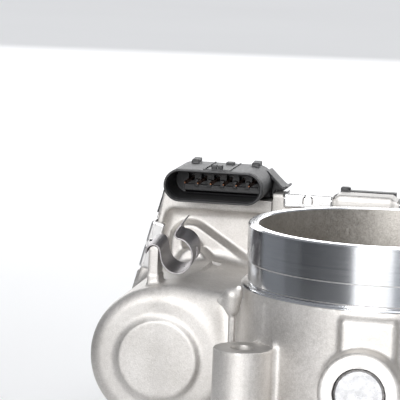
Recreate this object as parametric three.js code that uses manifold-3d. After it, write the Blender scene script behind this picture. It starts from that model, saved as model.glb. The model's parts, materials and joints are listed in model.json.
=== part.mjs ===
// Electronic throttle body, in millimetres, +Z up.
// It is drawn with the bore axis on X = Y = 0 and the manifold face on Z = 0, the throttle shaft and
// the motor along Y. The last lines slide it so that its footprint is centred on the origin.
import * as THREE from 'three';
import { mergeVertices } from 'three/addons/utils/BufferGeometryUtils.js';
import Module from 'manifold-3d';

const wasm = await Module();
wasm.setup();

// ---- Driving dimensions ----
const GAP = 0.3;                      // clearance between pieces that touch
const BORE_R = 37;
const RIM_Z = 77;                     // top of the hose spigot
const SPIGOT_R = 40;
const SPIGOT_STEP_Z = RIM_Z - 10.8;
const LIP_Z = RIM_Z - 17.8;
const BARREL_R = 41.5;
const BOLT_SPACING = 70;
const BOLT_HOLE_R = 3.4;
const COLUMN_R = 8.2;
const COLUMN_TOP = 45.5;
const FLANGE_THICKNESS = 9;

const SHAFT_Z = 38;                   // throttle shaft axis
const SHAFT_R = 5;
const PLATE_R = 36.5;
const PLATE_THICKNESS = 2;
const PLATE_REST_DEG = 7;             // the plate stands a little open when the motor is off
const FRONT_BOSS_R = 11.5;
const FRONT_BOSS_END = -51;

const MOTOR_X = -64.9;
const MOTOR_Z = 34.4;
const MOTOR_CAN_R = 16.8;
const MOTOR_CAVITY_R = MOTOR_CAN_R + 0.5;
const MOTOR_HOUSING_R = 21;
const MOTOR_NOSE = -7.5;              // front end of the motor housing
const MOTOR_BOSS_R = 11.9;

const LIP_FRONT = 47;                 // the gear tray, along Y
const WALL_FRONT = 50.5;
const TRAY_FLOOR = 53.5;
const PARTING = 56;
const COVER_BACK = 74.8;
const COVER_WALL = 2.5;
const TRAY_WALL = 3.5;
const TRAY_TOP = 78;
const TRAY_BOTTOM = 4;
const TRAY_LEFT = -86.5;
const TRAY_RIGHT = 31;
const LIP_BOTTOM = 71.6;              // under the lip along the tray's top edge

const MODULE = 1;                     // gear teeth
const PRESSURE_ANGLE = 25 * Math.PI / 180;
const ADDENDUM = 0.8 * MODULE;
const DEDENDUM = 1.1 * MODULE;
const BACKLASH = 0.16;
const PINION_TEETH = 12;
const IDLER_LARGE_TEETH = 52;
const IDLER_SMALL_TEETH = 11;
const SECTOR_TEETH = 55;              // the teeth that the sector would have all round

const CONNECTOR_X = -57.35;
const CONNECTOR_Z = RIM_Z + 4;
const CONNECTOR_WIDTH = 30.7;
const CONNECTOR_HEIGHT = 10.1;
const CONNECTOR_WALL = 0.9;
const CONNECTOR_MOUTH = 31.5;
const CONNECTOR_DEPTH = 15;
const CONNECTOR_BACK = 54;
const PIN_COUNT = 6;
const PIN_PITCH = 4;
const PINS_X = -56.7;                 // middle of the row of contacts
const PIN_Z = RIM_Z + 4.5;
const PIN_TIP = 35;
const PIN_ROOT = 52;

const CLIP_WIDTH = 15.4;
const CLIP_THICKNESS = 0.8;
const CLIP_LEG = 4;

const PAD_LEFT = -21;                 // raised stretch of the tray's top edge
const PAD_RIGHT = -4;
const PAD_TOP = RIM_Z + 1.9;

const TAB_X = -68.5;
const TAB_FRONT = 0;
const TAB_WIDTH = 3.1;
const TAB_LENGTH = 7;
const TAB_TOP = RIM_Z - 10.2;
const TAB_ROUND_Z = TAB_TOP - TAB_WIDTH / 2;
const STRIP = 0.5;                    // harness clip steel
const STRIP_FRONT = -1;
const STRIP_WIDTH = 12;
const STRIP_RISE = 0.115;             // the clip leans: its back edge stands higher

// ---- Colours and finishes ----
const CAST = { color: 0xb9b6b1, roughness: 0.62, metalness: 0.85 };
const STEEL = { color: 0xc9cbce, roughness: 0.3, metalness: 1 };
const BRIGHT_STEEL = { color: 0xe2e2e0, roughness: 0.28, metalness: 1 };
const SPRING_STEEL = { color: 0x4a474d, roughness: 0.42, metalness: 0.9 };
const BLACK_PLASTIC = { color: 0x26272a, roughness: 0.55, metalness: 0 };
const GEAR_PLASTIC = { color: 0xd9d2bf, roughness: 0.5, metalness: 0 };
const RUBBER = { color: 0x1b1b1c, roughness: 0.85, metalness: 0 };
const BRASS = { color: 0xb88a4a, roughness: 0.35, metalness: 1 };
const COPPER = { color: 0x9a5b3c, roughness: 0.35, metalness: 1 };
const CARBON = { color: 0x2b2a2c, roughness: 0.7, metalness: 0.2 };
const MAGNET = { color: 0x55565a, roughness: 0.5, metalness: 0.6 };
const BOARD = { color: 0x1f5a3a, roughness: 0.5, metalness: 0 };

const assembly = new THREE.Group();

// ---- Solids ----
function solid(geometry) {
  const bare = geometry.clone();
  bare.deleteAttribute('normal');
  bare.deleteAttribute('uv');
  const merged = mergeVertices(bare, 1e-4);
  const index = merged.index.array;
  const triangles = [];
  for (let i = 0; i < index.length; i += 3) {
    const [a, b, c] = [index[i], index[i + 1], index[i + 2]];
    if (a !== b && b !== c && c !== a) {
      triangles.push(a, b, c);
    }
  }
  return new wasm.Manifold(new wasm.Mesh({
    numProp: 3,
    vertProperties: new Float32Array(merged.attributes.position.array),
    triVerts: new Uint32Array(triangles),
  }));
}

function join(...parts) {
  return parts.reduce((sum, part) => sum.add(part));
}

function cut(body, ...tools) {
  return tools.reduce((rest, tool) => rest.subtract(tool), body);
}

function addPart(name, body, finish) {
  const mesh = body.getMesh();
  const geometry = new THREE.BufferGeometry();
  geometry.setAttribute('position', new THREE.BufferAttribute(mesh.vertProperties, 3));
  geometry.setIndex(new THREE.BufferAttribute(mesh.triVerts, 1));
  geometry.computeVertexNormals();
  const part = new THREE.Mesh(geometry, new THREE.MeshStandardMaterial(finish));
  part.name = name;
  assembly.add(part);
}

function block(x0, x1, y0, y1, z0, z1) {
  const geometry = new THREE.BoxGeometry(x1 - x0, y1 - y0, z1 - z0);
  return solid(geometry.translate((x0 + x1) / 2, (y0 + y1) / 2, (z0 + z1) / 2));
}

// A profile of [radius, height] points turned about a vertical line through (x, y).
function turnedZ(points, x, y, sides = 24) {
  const profile = points.map(([r, h]) => new THREE.Vector2(r, h));
  const geometry = new THREE.LatheGeometry(profile, sides);
  return solid(geometry.rotateX(Math.PI / 2).translate(x, y, 0));
}

// A profile of [radius, Y] points turned about the line along Y through (x, z).
function turnedY(points, x, z, sides = 24) {
  const profile = points.map(([r, h]) => new THREE.Vector2(r, h));
  return solid(new THREE.LatheGeometry(profile, sides).translate(x, 0, z));
}

function rodZ(r, x, y, z0, z1, sides = 24) {
  return turnedZ([[0, z0], [r, z0], [r, z1], [0, z1]], x, y, sides);
}

function rodY(r, x, z, y0, y1, sides = 24) {
  return turnedY([[0, y0], [r, y0], [r, y1], [0, y1]], x, z, sides);
}

function ringY(rIn, rOut, x, z, y0, y1, sides = 24) {
  return turnedY([[rIn, y0], [rOut, y0], [rOut, y1], [rIn, y1], [rIn, y0]], x, z, sides);
}

// An outline of [x, z] points, counter-clockwise or clockwise, extruded along Y.
function slabY(points, y0, y1) {
  const shape = new THREE.Shape(points.map(([x, z]) => new THREE.Vector2(x, z)));
  const geometry = new THREE.ExtrudeGeometry(shape, { depth: y1 - y0, bevelEnabled: false });
  return solid(geometry.rotateX(Math.PI / 2).translate(0, y1, 0));
}

function slabZ(points, z0, z1) {
  const shape = new THREE.Shape(points.map(([x, y]) => new THREE.Vector2(x, y)));
  const geometry = new THREE.ExtrudeGeometry(shape, { depth: z1 - z0, bevelEnabled: false });
  return solid(geometry.translate(0, 0, z0));
}

// A closed outline whose corners are given as [x, z, radius]; inset moves every side inwards.
function roundedOutline(corners, inset = 0, steps = 5) {
  const count = corners.length;
  const sides = corners.map(([x, z], i) => {
    const next = corners[(i + 1) % count];
    const along = new THREE.Vector2(next[0] - x, next[1] - z).normalize();
    const inward = new THREE.Vector2(-along.y, along.x);
    return { point: new THREE.Vector2(x, z).addScaledVector(inward, inset), along };
  });
  const outline = [];
  for (let i = 0; i < count; i += 1) {
    const before = sides[(i + count - 1) % count];
    const after = sides[i];
    const turn = before.along.cross(after.along);
    const reach = after.point.clone().sub(before.point).cross(after.along) / turn;
    const corner = before.point.clone().addScaledVector(before.along, reach);
    const radius = Math.max(corners[i][2] - inset, 0.5);
    const angle = Math.acos(before.along.dot(after.along));
    const tangent = radius * Math.tan(angle / 2);
    const start = corner.clone().addScaledVector(before.along, -tangent);
    const inward = new THREE.Vector2(-before.along.y, before.along.x);
    const centre = start.clone().addScaledVector(inward, radius);
    const first = Math.atan2(start.y - centre.y, start.x - centre.x);
    for (let k = 0; k <= steps; k += 1) {
      const a = first + angle * k / steps;
      outline.push([centre.x + radius * Math.cos(a), centre.y + radius * Math.sin(a)]);
    }
  }
  return outline;
}

function rectangle(x0, x1, z0, z1, radius) {
  return [[x0, z0, radius], [x1, z0, radius], [x1, z1, radius], [x0, z1, radius]];
}

// ---- Gear teeth ----
const involute = (angle) => Math.tan(angle) - angle;

const pitchRadius = (teeth) => teeth * MODULE / 2;

// Half the angle that a tooth takes up at radius r.
function halfToothAngle(teeth, r) {
  const pitchR = pitchRadius(teeth);
  const baseR = pitchR * Math.cos(PRESSURE_ANGLE);
  const local = Math.acos(Math.min(1, baseR / r));
  const atPitch = Math.PI / 2 / teeth - BACKLASH / 2 / pitchR;
  return atPitch + involute(PRESSURE_ANGLE) - involute(local);
}

// Tooth points from tooth number first to last, with a tooth centred on the angle phase. The flank
// is an involute; below the base circle it goes down to the root on a slightly wider foot.
function toothOutline(teeth, phase, first = 0, last = teeth - 1) {
  const pitchR = pitchRadius(teeth);
  const baseR = pitchR * Math.cos(PRESSURE_ANGLE);
  const rootR = pitchR - DEDENDUM;
  const tipR = pitchR + ADDENDUM;
  const flank = rootR > baseR
    ? [rootR, tipR].map((r) => [r, halfToothAngle(teeth, r)])
    : [baseR, pitchR, tipR].map((r) => [r, halfToothAngle(teeth, r)]);
  if (rootR < baseR) {
    flank.unshift([rootR, flank[0][1] + 0.15 / pitchR]);
  }
  const points = [];
  for (let tooth = first; tooth <= last; tooth += 1) {
    const middle = phase + tooth * 2 * Math.PI / teeth;
    const rising = flank.map(([r, half]) => [r, middle - half]);
    const falling = flank.map(([r, half]) => [r, middle + half]).reverse();
    rising.concat(falling).forEach(([r, a]) => points.push([r * Math.cos(a), r * Math.sin(a)]));
  }
  return points;
}

function gearY(teeth, phase, x, z, y0, y1) {
  return slabY(toothOutline(teeth, phase).map(([u, v]) => [x + u, z + v]), y0, y1);
}

const motorStage = pitchRadius(PINION_TEETH + IDLER_LARGE_TEETH);
const shaftStage = pitchRadius(IDLER_SMALL_TEETH + SECTOR_TEETH);
const idlerShare = shaftStage / (motorStage + shaftStage);
const IDLER_X = MOTOR_X * idlerShare;
const IDLER_Z = SHAFT_Z + (MOTOR_Z - SHAFT_Z) * idlerShare;
const towardsMotor = Math.atan2(MOTOR_Z - SHAFT_Z, MOTOR_X);
const halfPitch = (teeth) => Math.PI / teeth;

// ---- Levels of the drive along Y ----
const SPRING_POCKET = 46;
const SECTOR_FRONT = 57.5;
const SECTOR_BACK = 63.5;
const LARGE_FRONT = 64.5;
const LARGE_BACK = 69.5;
const BEARING_FRONT = 43;
const BEARING_BACK = 51.5;
const BEARING_R = 13;

// ---- Outlines of the tray and the connector, as [x, z] ----
const TRAY_CORNERS = [
  [TRAY_LEFT, TRAY_BOTTOM, 24],
  [TRAY_RIGHT, TRAY_BOTTOM, 25],
  [TRAY_RIGHT, 56, 16],
  [18.4, TRAY_TOP, 8],
  [-75.6, TRAY_TOP, 3],
  [TRAY_LEFT + 0.3, 38, 30],
];

// The hollow in front of the tray's wall, inside the lip.
const FRONT_POCKET_CORNERS = [
  [TRAY_LEFT + 5, TRAY_BOTTOM + 5, 19],
  [TRAY_RIGHT - 5, TRAY_BOTTOM + 5, 20],
  [TRAY_RIGHT - 5, 53, 11],
  [13, LIP_BOTTOM, 6],
  [-74.3, LIP_BOTTOM, 3],
  [TRAY_LEFT + 4, 38, 26],
];

const connectorOutline = (inset) => roundedOutline(rectangle(
  CONNECTOR_X - CONNECTOR_WIDTH / 2,
  CONNECTOR_X + CONNECTOR_WIDTH / 2,
  CONNECTOR_Z - CONNECTOR_HEIGHT / 2,
  CONNECTOR_Z + CONNECTOR_HEIGHT / 2,
  CONNECTOR_HEIGHT / 2 - 0.05,
), inset, 7);

const corners4 = (reach) => [[1, 1], [-1, 1], [-1, -1], [1, -1]].map(([a, b]) => [a * reach, b * reach]);
const boltPlaces = corners4(BOLT_SPACING / 2);

// A place on the tray's sloping left edge, a given height below its top.
function leftEdge(drop) {
  const [topX] = TRAY_CORNERS[4];
  const [lowX, lowZ] = TRAY_CORNERS[5];
  const slope = Math.atan2(TRAY_TOP - lowZ, topX - lowX);
  return { x: topX - drop / Math.tan(slope), z: TRAY_TOP - drop, out: slope + Math.PI / 2 };
}

// Cover clips: a point on the tray's edge, and the direction out of the tray there.
function clipPlaces() {
  const onTop = [-29.9, 5.9].map((x) => ({ x, z: TRAY_TOP, out: Math.PI / 2 }));
  const below = [-3, -28, -53].map((x) => ({ x, z: TRAY_BOTTOM, out: -Math.PI / 2 }));
  return [...onTop, leftEdge(18), ...below, { x: TRAY_RIGHT, z: 38, out: 0 }];
}

// A box in front of a place on the tray's edge: along the edge, out of it, and along Y.
function edgeBlock(place, halfWidth, out0, out1, y0, y1) {
  const geometry = new THREE.BoxGeometry(out1 - out0, y1 - y0, 2 * halfWidth);
  geometry.translate((out0 + out1) / 2, (y0 + y1) / 2, 0);
  geometry.rotateY(-place.out);
  return solid(geometry.translate(place.x, 0, place.z));
}

// ---- Housing ----
function barrel() {
  const chamfer = 0.4;
  const neck = 39.6;
  const profile = [
    [0, 0], [BARREL_R, 0], [BARREL_R, LIP_Z - 0.6], [BARREL_R - 0.2, LIP_Z],
    [neck - 0.6, LIP_Z + 0.3], [neck, LIP_Z + 0.9], [neck, SPIGOT_STEP_Z - chamfer],
    [SPIGOT_R, SPIGOT_STEP_Z], [SPIGOT_R, RIM_Z - chamfer], [SPIGOT_R - chamfer, RIM_Z], [0, RIM_Z],
  ];
  return turnedZ(profile, 0, 0, 60);
}

function flangeAndColumns() {
  const reach = BOLT_SPACING / 2 + COLUMN_R;
  const square = rectangle(-reach, reach, -reach, reach, COLUMN_R);
  const plate = slabZ(roundedOutline(square, 0, 6), 0, FLANGE_THICKNESS);
  const columns = boltPlaces.map(([x, y]) => rodZ(COLUMN_R, x, y, 0, COLUMN_TOP));
  return join(plate, ...columns);
}

function shaftBosses() {
  const front = rodY(FRONT_BOSS_R, 0, SHAFT_Z, FRONT_BOSS_END, -BORE_R - 1);
  const shoulderTop = RIM_Z - 19.6;
  const shoulder = block(-7, 8.9, -44, -BORE_R + 3, SHAFT_Z, shoulderTop);
  const rear = rodY(23.5, 0, SHAFT_Z, BORE_R + 1, WALL_FRONT + 1, 30);
  return join(front, shoulder, rear);
}

function motorHousing() {
  const edge = 4;
  const face = MOTOR_NOSE + 1;
  const bossEdge = 0.6;
  const profile = [[0, MOTOR_NOSE], [MOTOR_BOSS_R - bossEdge, MOTOR_NOSE]];
  profile.push([MOTOR_BOSS_R, MOTOR_NOSE + bossEdge], [MOTOR_BOSS_R, face]);
  for (let k = 0; k <= 4; k += 1) {
    const a = k / 4 * Math.PI / 2;
    profile.push([MOTOR_HOUSING_R - edge + edge * Math.sin(a), face + edge - edge * Math.cos(a)]);
  }
  profile.push([MOTOR_HOUSING_R, WALL_FRONT + 1], [0, WALL_FRONT + 1]);
  const shell = turnedY(profile, MOTOR_X, MOTOR_Z, 36);
  const webTop = RIM_Z - 23;
  const web = block(-60, -36, -3, WALL_FRONT + 1, MOTOR_Z - 15, webTop);
  const cornerBlock = block(-60, -30, 30, WALL_FRONT + 1, MOTOR_Z - 22, webTop - 6);
  return join(shell, web, cornerBlock);
}

function gearTray() {
  const slab = slabY(roundedOutline(TRAY_CORNERS), LIP_FRONT, PARTING);
  const frontPocket = slabY(roundedOutline(FRONT_POCKET_CORNERS), LIP_FRONT - 1, WALL_FRONT);
  const backPocket = slabY(roundedOutline(TRAY_CORNERS, TRAY_WALL), TRAY_FLOOR, PARTING + 1);
  const trimTop = [-75.2, TRAY_TOP + 1];
  const trimLow = [-79.6, 56];
  const lipTrim = slabY([trimTop, [TRAY_LEFT, trimTop[1]], [TRAY_LEFT, trimLow[1]], trimLow], LIP_FRONT - 1,
    WALL_FRONT - 0.5);
  const lipGroove = block(-41.4, -40.9, LIP_FRONT - 1, LIP_FRONT + 2, LIP_BOTTOM - 1, TRAY_TOP + 1);
  return cut(slab, frontPocket, backPocket, lipTrim, lipGroove);
}

// A raised arch on the tray's front wall, over the upper motor screw.
function wallArch() {
  const archX = -67;
  const archZ = RIM_Z - 16.1;
  const archR = 6.8;
  const slope = -33 * Math.PI / 180;
  const length = 18;
  const outline = [[archX - archR, MOTOR_Z + 10]];
  for (let k = 0; k <= 6; k += 1) {
    const a = Math.PI + (slope - Math.PI / 2) * k / 6;
    outline.push([archX + archR * Math.cos(a), archZ + archR * Math.sin(a)]);
  }
  const [lastX, lastZ] = outline[outline.length - 1];
  outline.push([lastX + length * Math.cos(slope), lastZ + length * Math.sin(slope)]);
  outline.push([lastX + length * Math.cos(slope), MOTOR_Z + 10]);
  return slabY(outline.reverse(), LIP_FRONT, WALL_FRONT + 1);
}

function smallFeatures() {
  const tab = join(
    block(TAB_X - TAB_WIDTH / 2, TAB_X + TAB_WIDTH / 2, TAB_FRONT, TAB_FRONT + TAB_LENGTH,
      MOTOR_Z + 12, TAB_ROUND_Z),
    rodY(TAB_WIDTH / 2, TAB_X, TAB_ROUND_Z, TAB_FRONT, TAB_FRONT + TAB_LENGTH),
  );
  const post = turnedZ([[0, FLANGE_THICKNESS - 1], [1.2, FLANGE_THICKNESS - 1], [1.2, 50.5], [2.2, 53.5],
    [2.2, 58], [1.4, 59.5], [0, 60]], -41, -19, 12);
  const bar = rodZ(1.2, -26.7, -31.9, FLANGE_THICKNESS - 1, 46, 12);
  const topPad = block(PAD_LEFT, PAD_RIGHT, LIP_FRONT, PARTING, TRAY_TOP - 3, PAD_TOP);
  const leftPad = edgeBlock(leftEdge(31), 3.5, -2, 1.2, PARTING - 5, PARTING);
  return join(tab, post, bar, topPad, leftPad);
}

function motorScrewPlaces() {
  const reach = 20.8;
  return [[MOTOR_X, MOTOR_Z + reach], [MOTOR_X, MOTOR_Z - reach]];
}

function housing() {
  const screwBosses = motorScrewPlaces().map(([x, z]) => rodY(4.6, x, z, 42, WALL_FRONT + 1, 16));
  const idlerBoss = rodY(5.5, IDLER_X, IDLER_Z, 46, WALL_FRONT + 1, 16);
  const cast = join(barrel(), flangeAndColumns(), shaftBosses(), motorHousing(), gearTray(), wallArch(),
    smallFeatures(), ...screwBosses, idlerBoss);
  const bore = rodZ(BORE_R, 0, 0, -1, RIM_Z + 1, 60);
  const boltHoles = boltPlaces.map(([x, y]) => rodZ(BOLT_HOLE_R, x, y, -1, COLUMN_TOP + 1, 16));
  const scallops = boltPlaces.map(([x, y]) => rodZ(COLUMN_R + 0.2, x, y, COLUMN_TOP, LIP_Z - 2));
  const shaftHole = rodY(SHAFT_R + GAP, 0, SHAFT_Z, FRONT_BOSS_END + 1, TRAY_FLOOR + 1);
  const frontSeat = rodY(7 + GAP, 0, SHAFT_Z, FRONT_BOSS_END - 1, -39.5);
  const rearSeat = rodY(BEARING_R + GAP, 0, SHAFT_Z, 39.5, TRAY_FLOOR + 1);
  const springPocket = ringY(BEARING_R + 2.3, 20.7, 0, SHAFT_Z, SPRING_POCKET, TRAY_FLOOR + 1, 30);
  const motorCavity = turnedY([[0, MOTOR_NOSE + 2.5], [5, MOTOR_NOSE + 2.5], [5, MOTOR_NOSE + 5],
    [MOTOR_CAVITY_R, MOTOR_NOSE + 5], [MOTOR_CAVITY_R, TRAY_FLOOR + 0.2], [0, TRAY_FLOOR + 0.2]],
  MOTOR_X, MOTOR_Z, 32);
  const screwHoles = motorScrewPlaces().map(([x, z]) => rodY(2 + GAP, x, z, 44, TRAY_FLOOR + 1, 12));
  const pinHole = rodY(2.5 + GAP, IDLER_X, IDLER_Z, 47.5, TRAY_FLOOR + 1, 16);
  const clipSeats = clipPlaces().map((place) => (
    edgeBlock(place, CLIP_WIDTH / 2 + 0.4, -0.6, 3, LIP_FRONT - 1, PARTING + 1)));
  const connectorNotch = block(-74, -41.1, LIP_FRONT - 1, PARTING + 1,
    CONNECTOR_Z - CONNECTOR_HEIGHT / 2 - GAP, TRAY_TOP + 5);
  return cut(cast, bore, ...boltHoles, ...scallops, shaftHole, frontSeat, rearSeat, springPocket,
    motorCavity, ...screwHoles, pinHole, ...clipSeats, connectorNotch);
}

// ---- Cover with its connector ----
function gearCover() {
  const front = PARTING + GAP;
  const flangeBack = front + 3;
  const rim = slabY(roundedOutline(TRAY_CORNERS, 0.5), front, flangeBack);
  const dish = slabY(roundedOutline(TRAY_CORNERS, 2.2), front, COVER_BACK);
  const inside = slabY(roundedOutline(TRAY_CORNERS, 2.2 + COVER_WALL), front - 1, COVER_BACK - COVER_WALL);
  const clipSeats = clipPlaces().map((place) => (
    edgeBlock(place, CLIP_WIDTH / 2 + 0.4, -0.6, 3, front - 1, flangeBack + 1)));
  const shroud = slabY(connectorOutline(0), CONNECTOR_MOUTH, CONNECTOR_BACK);
  const top = CONNECTOR_Z + CONNECTOR_HEIGHT / 2;
  const right = CONNECTOR_X + CONNECTOR_WIDTH / 2;
  const base = CONNECTOR_Z - CONNECTOR_HEIGHT / 2 + 0.4;
  const neck = block(-72.5, right - 0.5, CONNECTOR_BACK - 4, front + 8, base, TRAY_TOP + 1);
  const web = slabY([[right - 5, base], [right + 0.6, base], [right + 0.6, TRAY_TOP + GAP],
    [right + 3.2, TRAY_TOP + GAP], [right + 3.2, TRAY_TOP + 1.6], [right - 1.2, top - 2.6],
    [right - 5, top - 2.6]], CONNECTOR_BACK - 1, front + 4);
  const stripOutline = [[right - 1.8, top - 2.2], [right + 3.2, TRAY_TOP + 1], [right + 5, TRAY_TOP + 1.4],
    [right + 4.6, TRAY_TOP + 2.2], [right + 3.4, TRAY_TOP + 2], [right - 1.2, top - 1.4]];
  const strip = slabY(stripOutline, CONNECTOR_BACK - 4.5, front + 2);
  const lugs = [-66.2, -47.1].map((x) => (
    block(x - 1.25, x + 1.25, 48.5, CONNECTOR_BACK - 0.5, top - 2, top + 1.4)));
  const latch = [[-58.4, -56.8], [-56.3, -55.1]].map(([x0, x1]) => (
    block(x0, x1, 33.8, 36.2, top - 0.8, top + 1.5)));
  const socket = slabY(connectorOutline(CONNECTOR_WALL), CONNECTOR_MOUTH - 1,
    CONNECTOR_MOUTH + CONNECTOR_DEPTH);
  const ledge = block(PINS_X - 11.4, PINS_X + 12, CONNECTOR_MOUTH + 13, CONNECTOR_MOUTH + CONNECTOR_DEPTH + 1,
    CONNECTOR_Z - 3, CONNECTOR_Z - 1);
  const holeHalf = 0.7;
  const pinHoles = pinPlaces().map((x) => (
    block(x - holeHalf, x + holeHalf, 43, PIN_ROOT + GAP, PIN_Z - holeHalf, PIN_Z + holeHalf)));
  const padSeat = block(PAD_LEFT - 0.6, PAD_RIGHT + 0.6, front - 1, flangeBack + 1,
    TRAY_TOP + 0.2, TRAY_TOP + 5);
  let body = cut(join(rim, dish), ...clipSeats, padSeat);
  body = join(body, shroud, neck, web, strip, ...lugs, ...latch);
  body = join(cut(body, socket), ledge);
  return cut(body, inside, ...pinHoles);
}

function pinPlaces() {
  return Array.from({ length: PIN_COUNT }, (_, i) => PINS_X + (i - (PIN_COUNT - 1) / 2) * PIN_PITCH);
}

function terminalPin(x) {
  const half = 0.4;
  return block(x - half, x + half, PIN_TIP, PIN_ROOT, PIN_Z - half, PIN_Z + half);
}

function coverSeal() {
  const outer = slabY(roundedOutline(TRAY_CORNERS, TRAY_WALL + GAP), PARTING - 1.2, PARTING - 0.2);
  const inner = slabY(roundedOutline(TRAY_CORNERS, TRAY_WALL + GAP + 1), PARTING - 2, PARTING + 1);
  const connectorSide = block(-90, CONNECTOR_X + CONNECTOR_WIDTH / 2 + 4, PARTING - 3, PARTING + 1,
    RIM_Z - 3.5, TRAY_TOP + 5);
  const ring = cut(outer, inner);
  return cut(ring, connectorSide);
}

// A steel clip bent round the tray's lip and the cover's flange.
function coverClip(place) {
  const half = CLIP_WIDTH / 2;
  const y0 = LIP_FRONT - GAP - CLIP_THICKNESS;
  const y1 = PARTING + GAP + 3 + GAP + CLIP_THICKNESS;
  const outside = edgeBlock(place, half, -CLIP_LEG, CLIP_THICKNESS - 0.3, y0, y1);
  const inside = edgeBlock(place, half + 1, -CLIP_LEG - 1, -0.3, y0 + CLIP_THICKNESS, y1 - CLIP_THICKNESS);
  const backLeg = edgeBlock(place, half + 1, -CLIP_LEG - 1, -1.4, y1 - 2 * CLIP_THICKNESS, y1 + 1);
  return cut(outside, inside, backLeg);
}

// The harness clip: a hood over the tab, a leg down its right side, an open loop and a flared tip.
function harnessClipPath() {
  const hoodR = TAB_WIDTH / 2 + GAP + STRIP / 2;
  const path = [[TAB_X - hoodR, TAB_ROUND_Z - 0.4]];
  for (let k = 0; k <= 6; k += 1) {
    const a = Math.PI - Math.PI * k / 6;
    path.push([TAB_X + hoodR * Math.cos(a), TAB_ROUND_Z + hoodR * Math.sin(a)]);
  }
  const loop = { x: TAB_X + 7.1, z: TAB_TOP - 2.4, halfWidth: 4.7, halfHeight: 5.2 };
  const from = 195 * Math.PI / 180;
  const sweep = 255 * Math.PI / 180;
  for (let k = 0; k <= 14; k += 1) {
    const a = from + sweep * k / 14;
    path.push([loop.x + loop.halfWidth * Math.cos(a), loop.z + loop.halfHeight * Math.sin(a)]);
  }
  const tip = [loop.x - 0.7, loop.z + loop.halfHeight + 1];
  path.push(tip, [tip[0] + 0.2, tip[1] + 0.8], [tip[0] + 0.8, tip[1] + 1.9], [tip[0] + 1.7, tip[1] + 3]);
  return path;
}

function harnessClip() {
  const path = harnessClipPath().map(([x, z]) => new THREE.Vector2(x, z));
  const sideAt = (i) => {
    const before = path[Math.max(0, i - 1)];
    const after = path[Math.min(path.length - 1, i + 1)];
    const along = after.clone().sub(before).normalize();
    return new THREE.Vector2(-along.y, along.x).multiplyScalar(STRIP / 2);
  };
  const left = path.map((p, i) => p.clone().add(sideAt(i)));
  const right = path.map((p, i) => p.clone().sub(sideAt(i)));
  const outline = left.concat(right.reverse()).map((p) => [p.x, p.y]);
  const lean = [1, 0, 0, 0, 0, 1, STRIP_RISE, 0, 0, 0, 1, 0, 0, 0, -STRIP_RISE * STRIP_FRONT, 1];
  return slabY(outline, STRIP_FRONT, STRIP_FRONT + STRIP_WIDTH).transform(lean);
}

// ---- Throttle ----
function tilted(body) {
  const angle = PLATE_REST_DEG * Math.PI / 180;
  const [c, s] = [Math.cos(angle), Math.sin(angle)];
  const turnAboutShaft = [c, 0, -s, 0, 0, 1, 0, 0, s, 0, c, 0,
    -s * SHAFT_Z, 0, SHAFT_Z - c * SHAFT_Z, 1];
  return body.transform(turnAboutShaft);
}

const screwYs = [-14, 14];

function throttleShaft() {
  const shaft = rodY(SHAFT_R, 0, SHAFT_Z, -48, 63.8, 24);
  const half = PLATE_THICKNESS / 2 + GAP;
  const reach = PLATE_R + 0.35;
  const slot = block(-SHAFT_R - 1, SHAFT_R + 1, -reach, reach, SHAFT_Z - half, SHAFT_Z + half);
  const holes = screwYs.map((y) => rodZ(1.6 + GAP, 0, y, SHAFT_Z - 8, SHAFT_Z + 8, 12));
  const flat = block(-SHAFT_R - 1, SHAFT_R + 1, -22, 22, SHAFT_Z + 3.6, SHAFT_Z + 8);
  return tilted(cut(shaft, slot, ...holes, flat));
}

function throttlePlate() {
  const half = PLATE_THICKNESS / 2;
  const disc = turnedZ([[0, SHAFT_Z - half], [PLATE_R - 0.3, SHAFT_Z - half], [PLATE_R, SHAFT_Z],
    [PLATE_R - 0.3, SHAFT_Z + half], [0, SHAFT_Z + half]], 0, 0, 60);
  const holes = screwYs.map((y) => rodZ(1.6 + GAP, 0, y, SHAFT_Z - 8, SHAFT_Z + 8, 12));
  return tilted(cut(disc, ...holes));
}

function plateScrew(y) {
  const seat = SHAFT_Z + 3.6 + GAP;
  const screw = turnedZ([[0, SHAFT_Z - 4.6], [1.6, SHAFT_Z - 4.6], [1.6, seat], [3, seat], [3, seat + 1.1],
    [2.2, seat + 1.8], [0, seat + 1.8]], 0, y, 12);
  const recess = block(-1.9, 1.9, y - 0.4, y + 0.4, seat + 0.9, seat + 3);
  return tilted(cut(screw, recess));
}

// Teeth on one side only, on a hub pressed over the shaft's end.
function sectorGear() {
  const pitch = 2 * Math.PI / SECTOR_TEETH;
  const teethBefore = 2;
  const teethAfter = 14;
  const first = towardsMotor - teethBefore * pitch;
  const last = towardsMotor + teethAfter * pitch;
  const outline = toothOutline(SECTOR_TEETH, first, 0, teethBefore + teethAfter);
  const hubR = 11;
  const hubSteps = 8;
  const shoulder = 0.5;
  const hub = Array.from({ length: hubSteps + 1 }, (_, k) => {
    const a = last + shoulder + (first + 2 * Math.PI - last - 2 * shoulder) * k / hubSteps;
    return [hubR * Math.cos(a), hubR * Math.sin(a)];
  });
  const plate = slabY(outline.concat(hub).map(([x, z]) => [x, z + SHAFT_Z]), SECTOR_FRONT, SECTOR_BACK);
  const collar = rodY(9, 0, SHAFT_Z, SECTOR_FRONT - 3.5, SECTOR_FRONT + 1);
  const hole = rodY(SHAFT_R + GAP, 0, SHAFT_Z, SECTOR_FRONT - 5, SECTOR_BACK + 1);
  return cut(join(plate, collar), hole);
}

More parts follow.
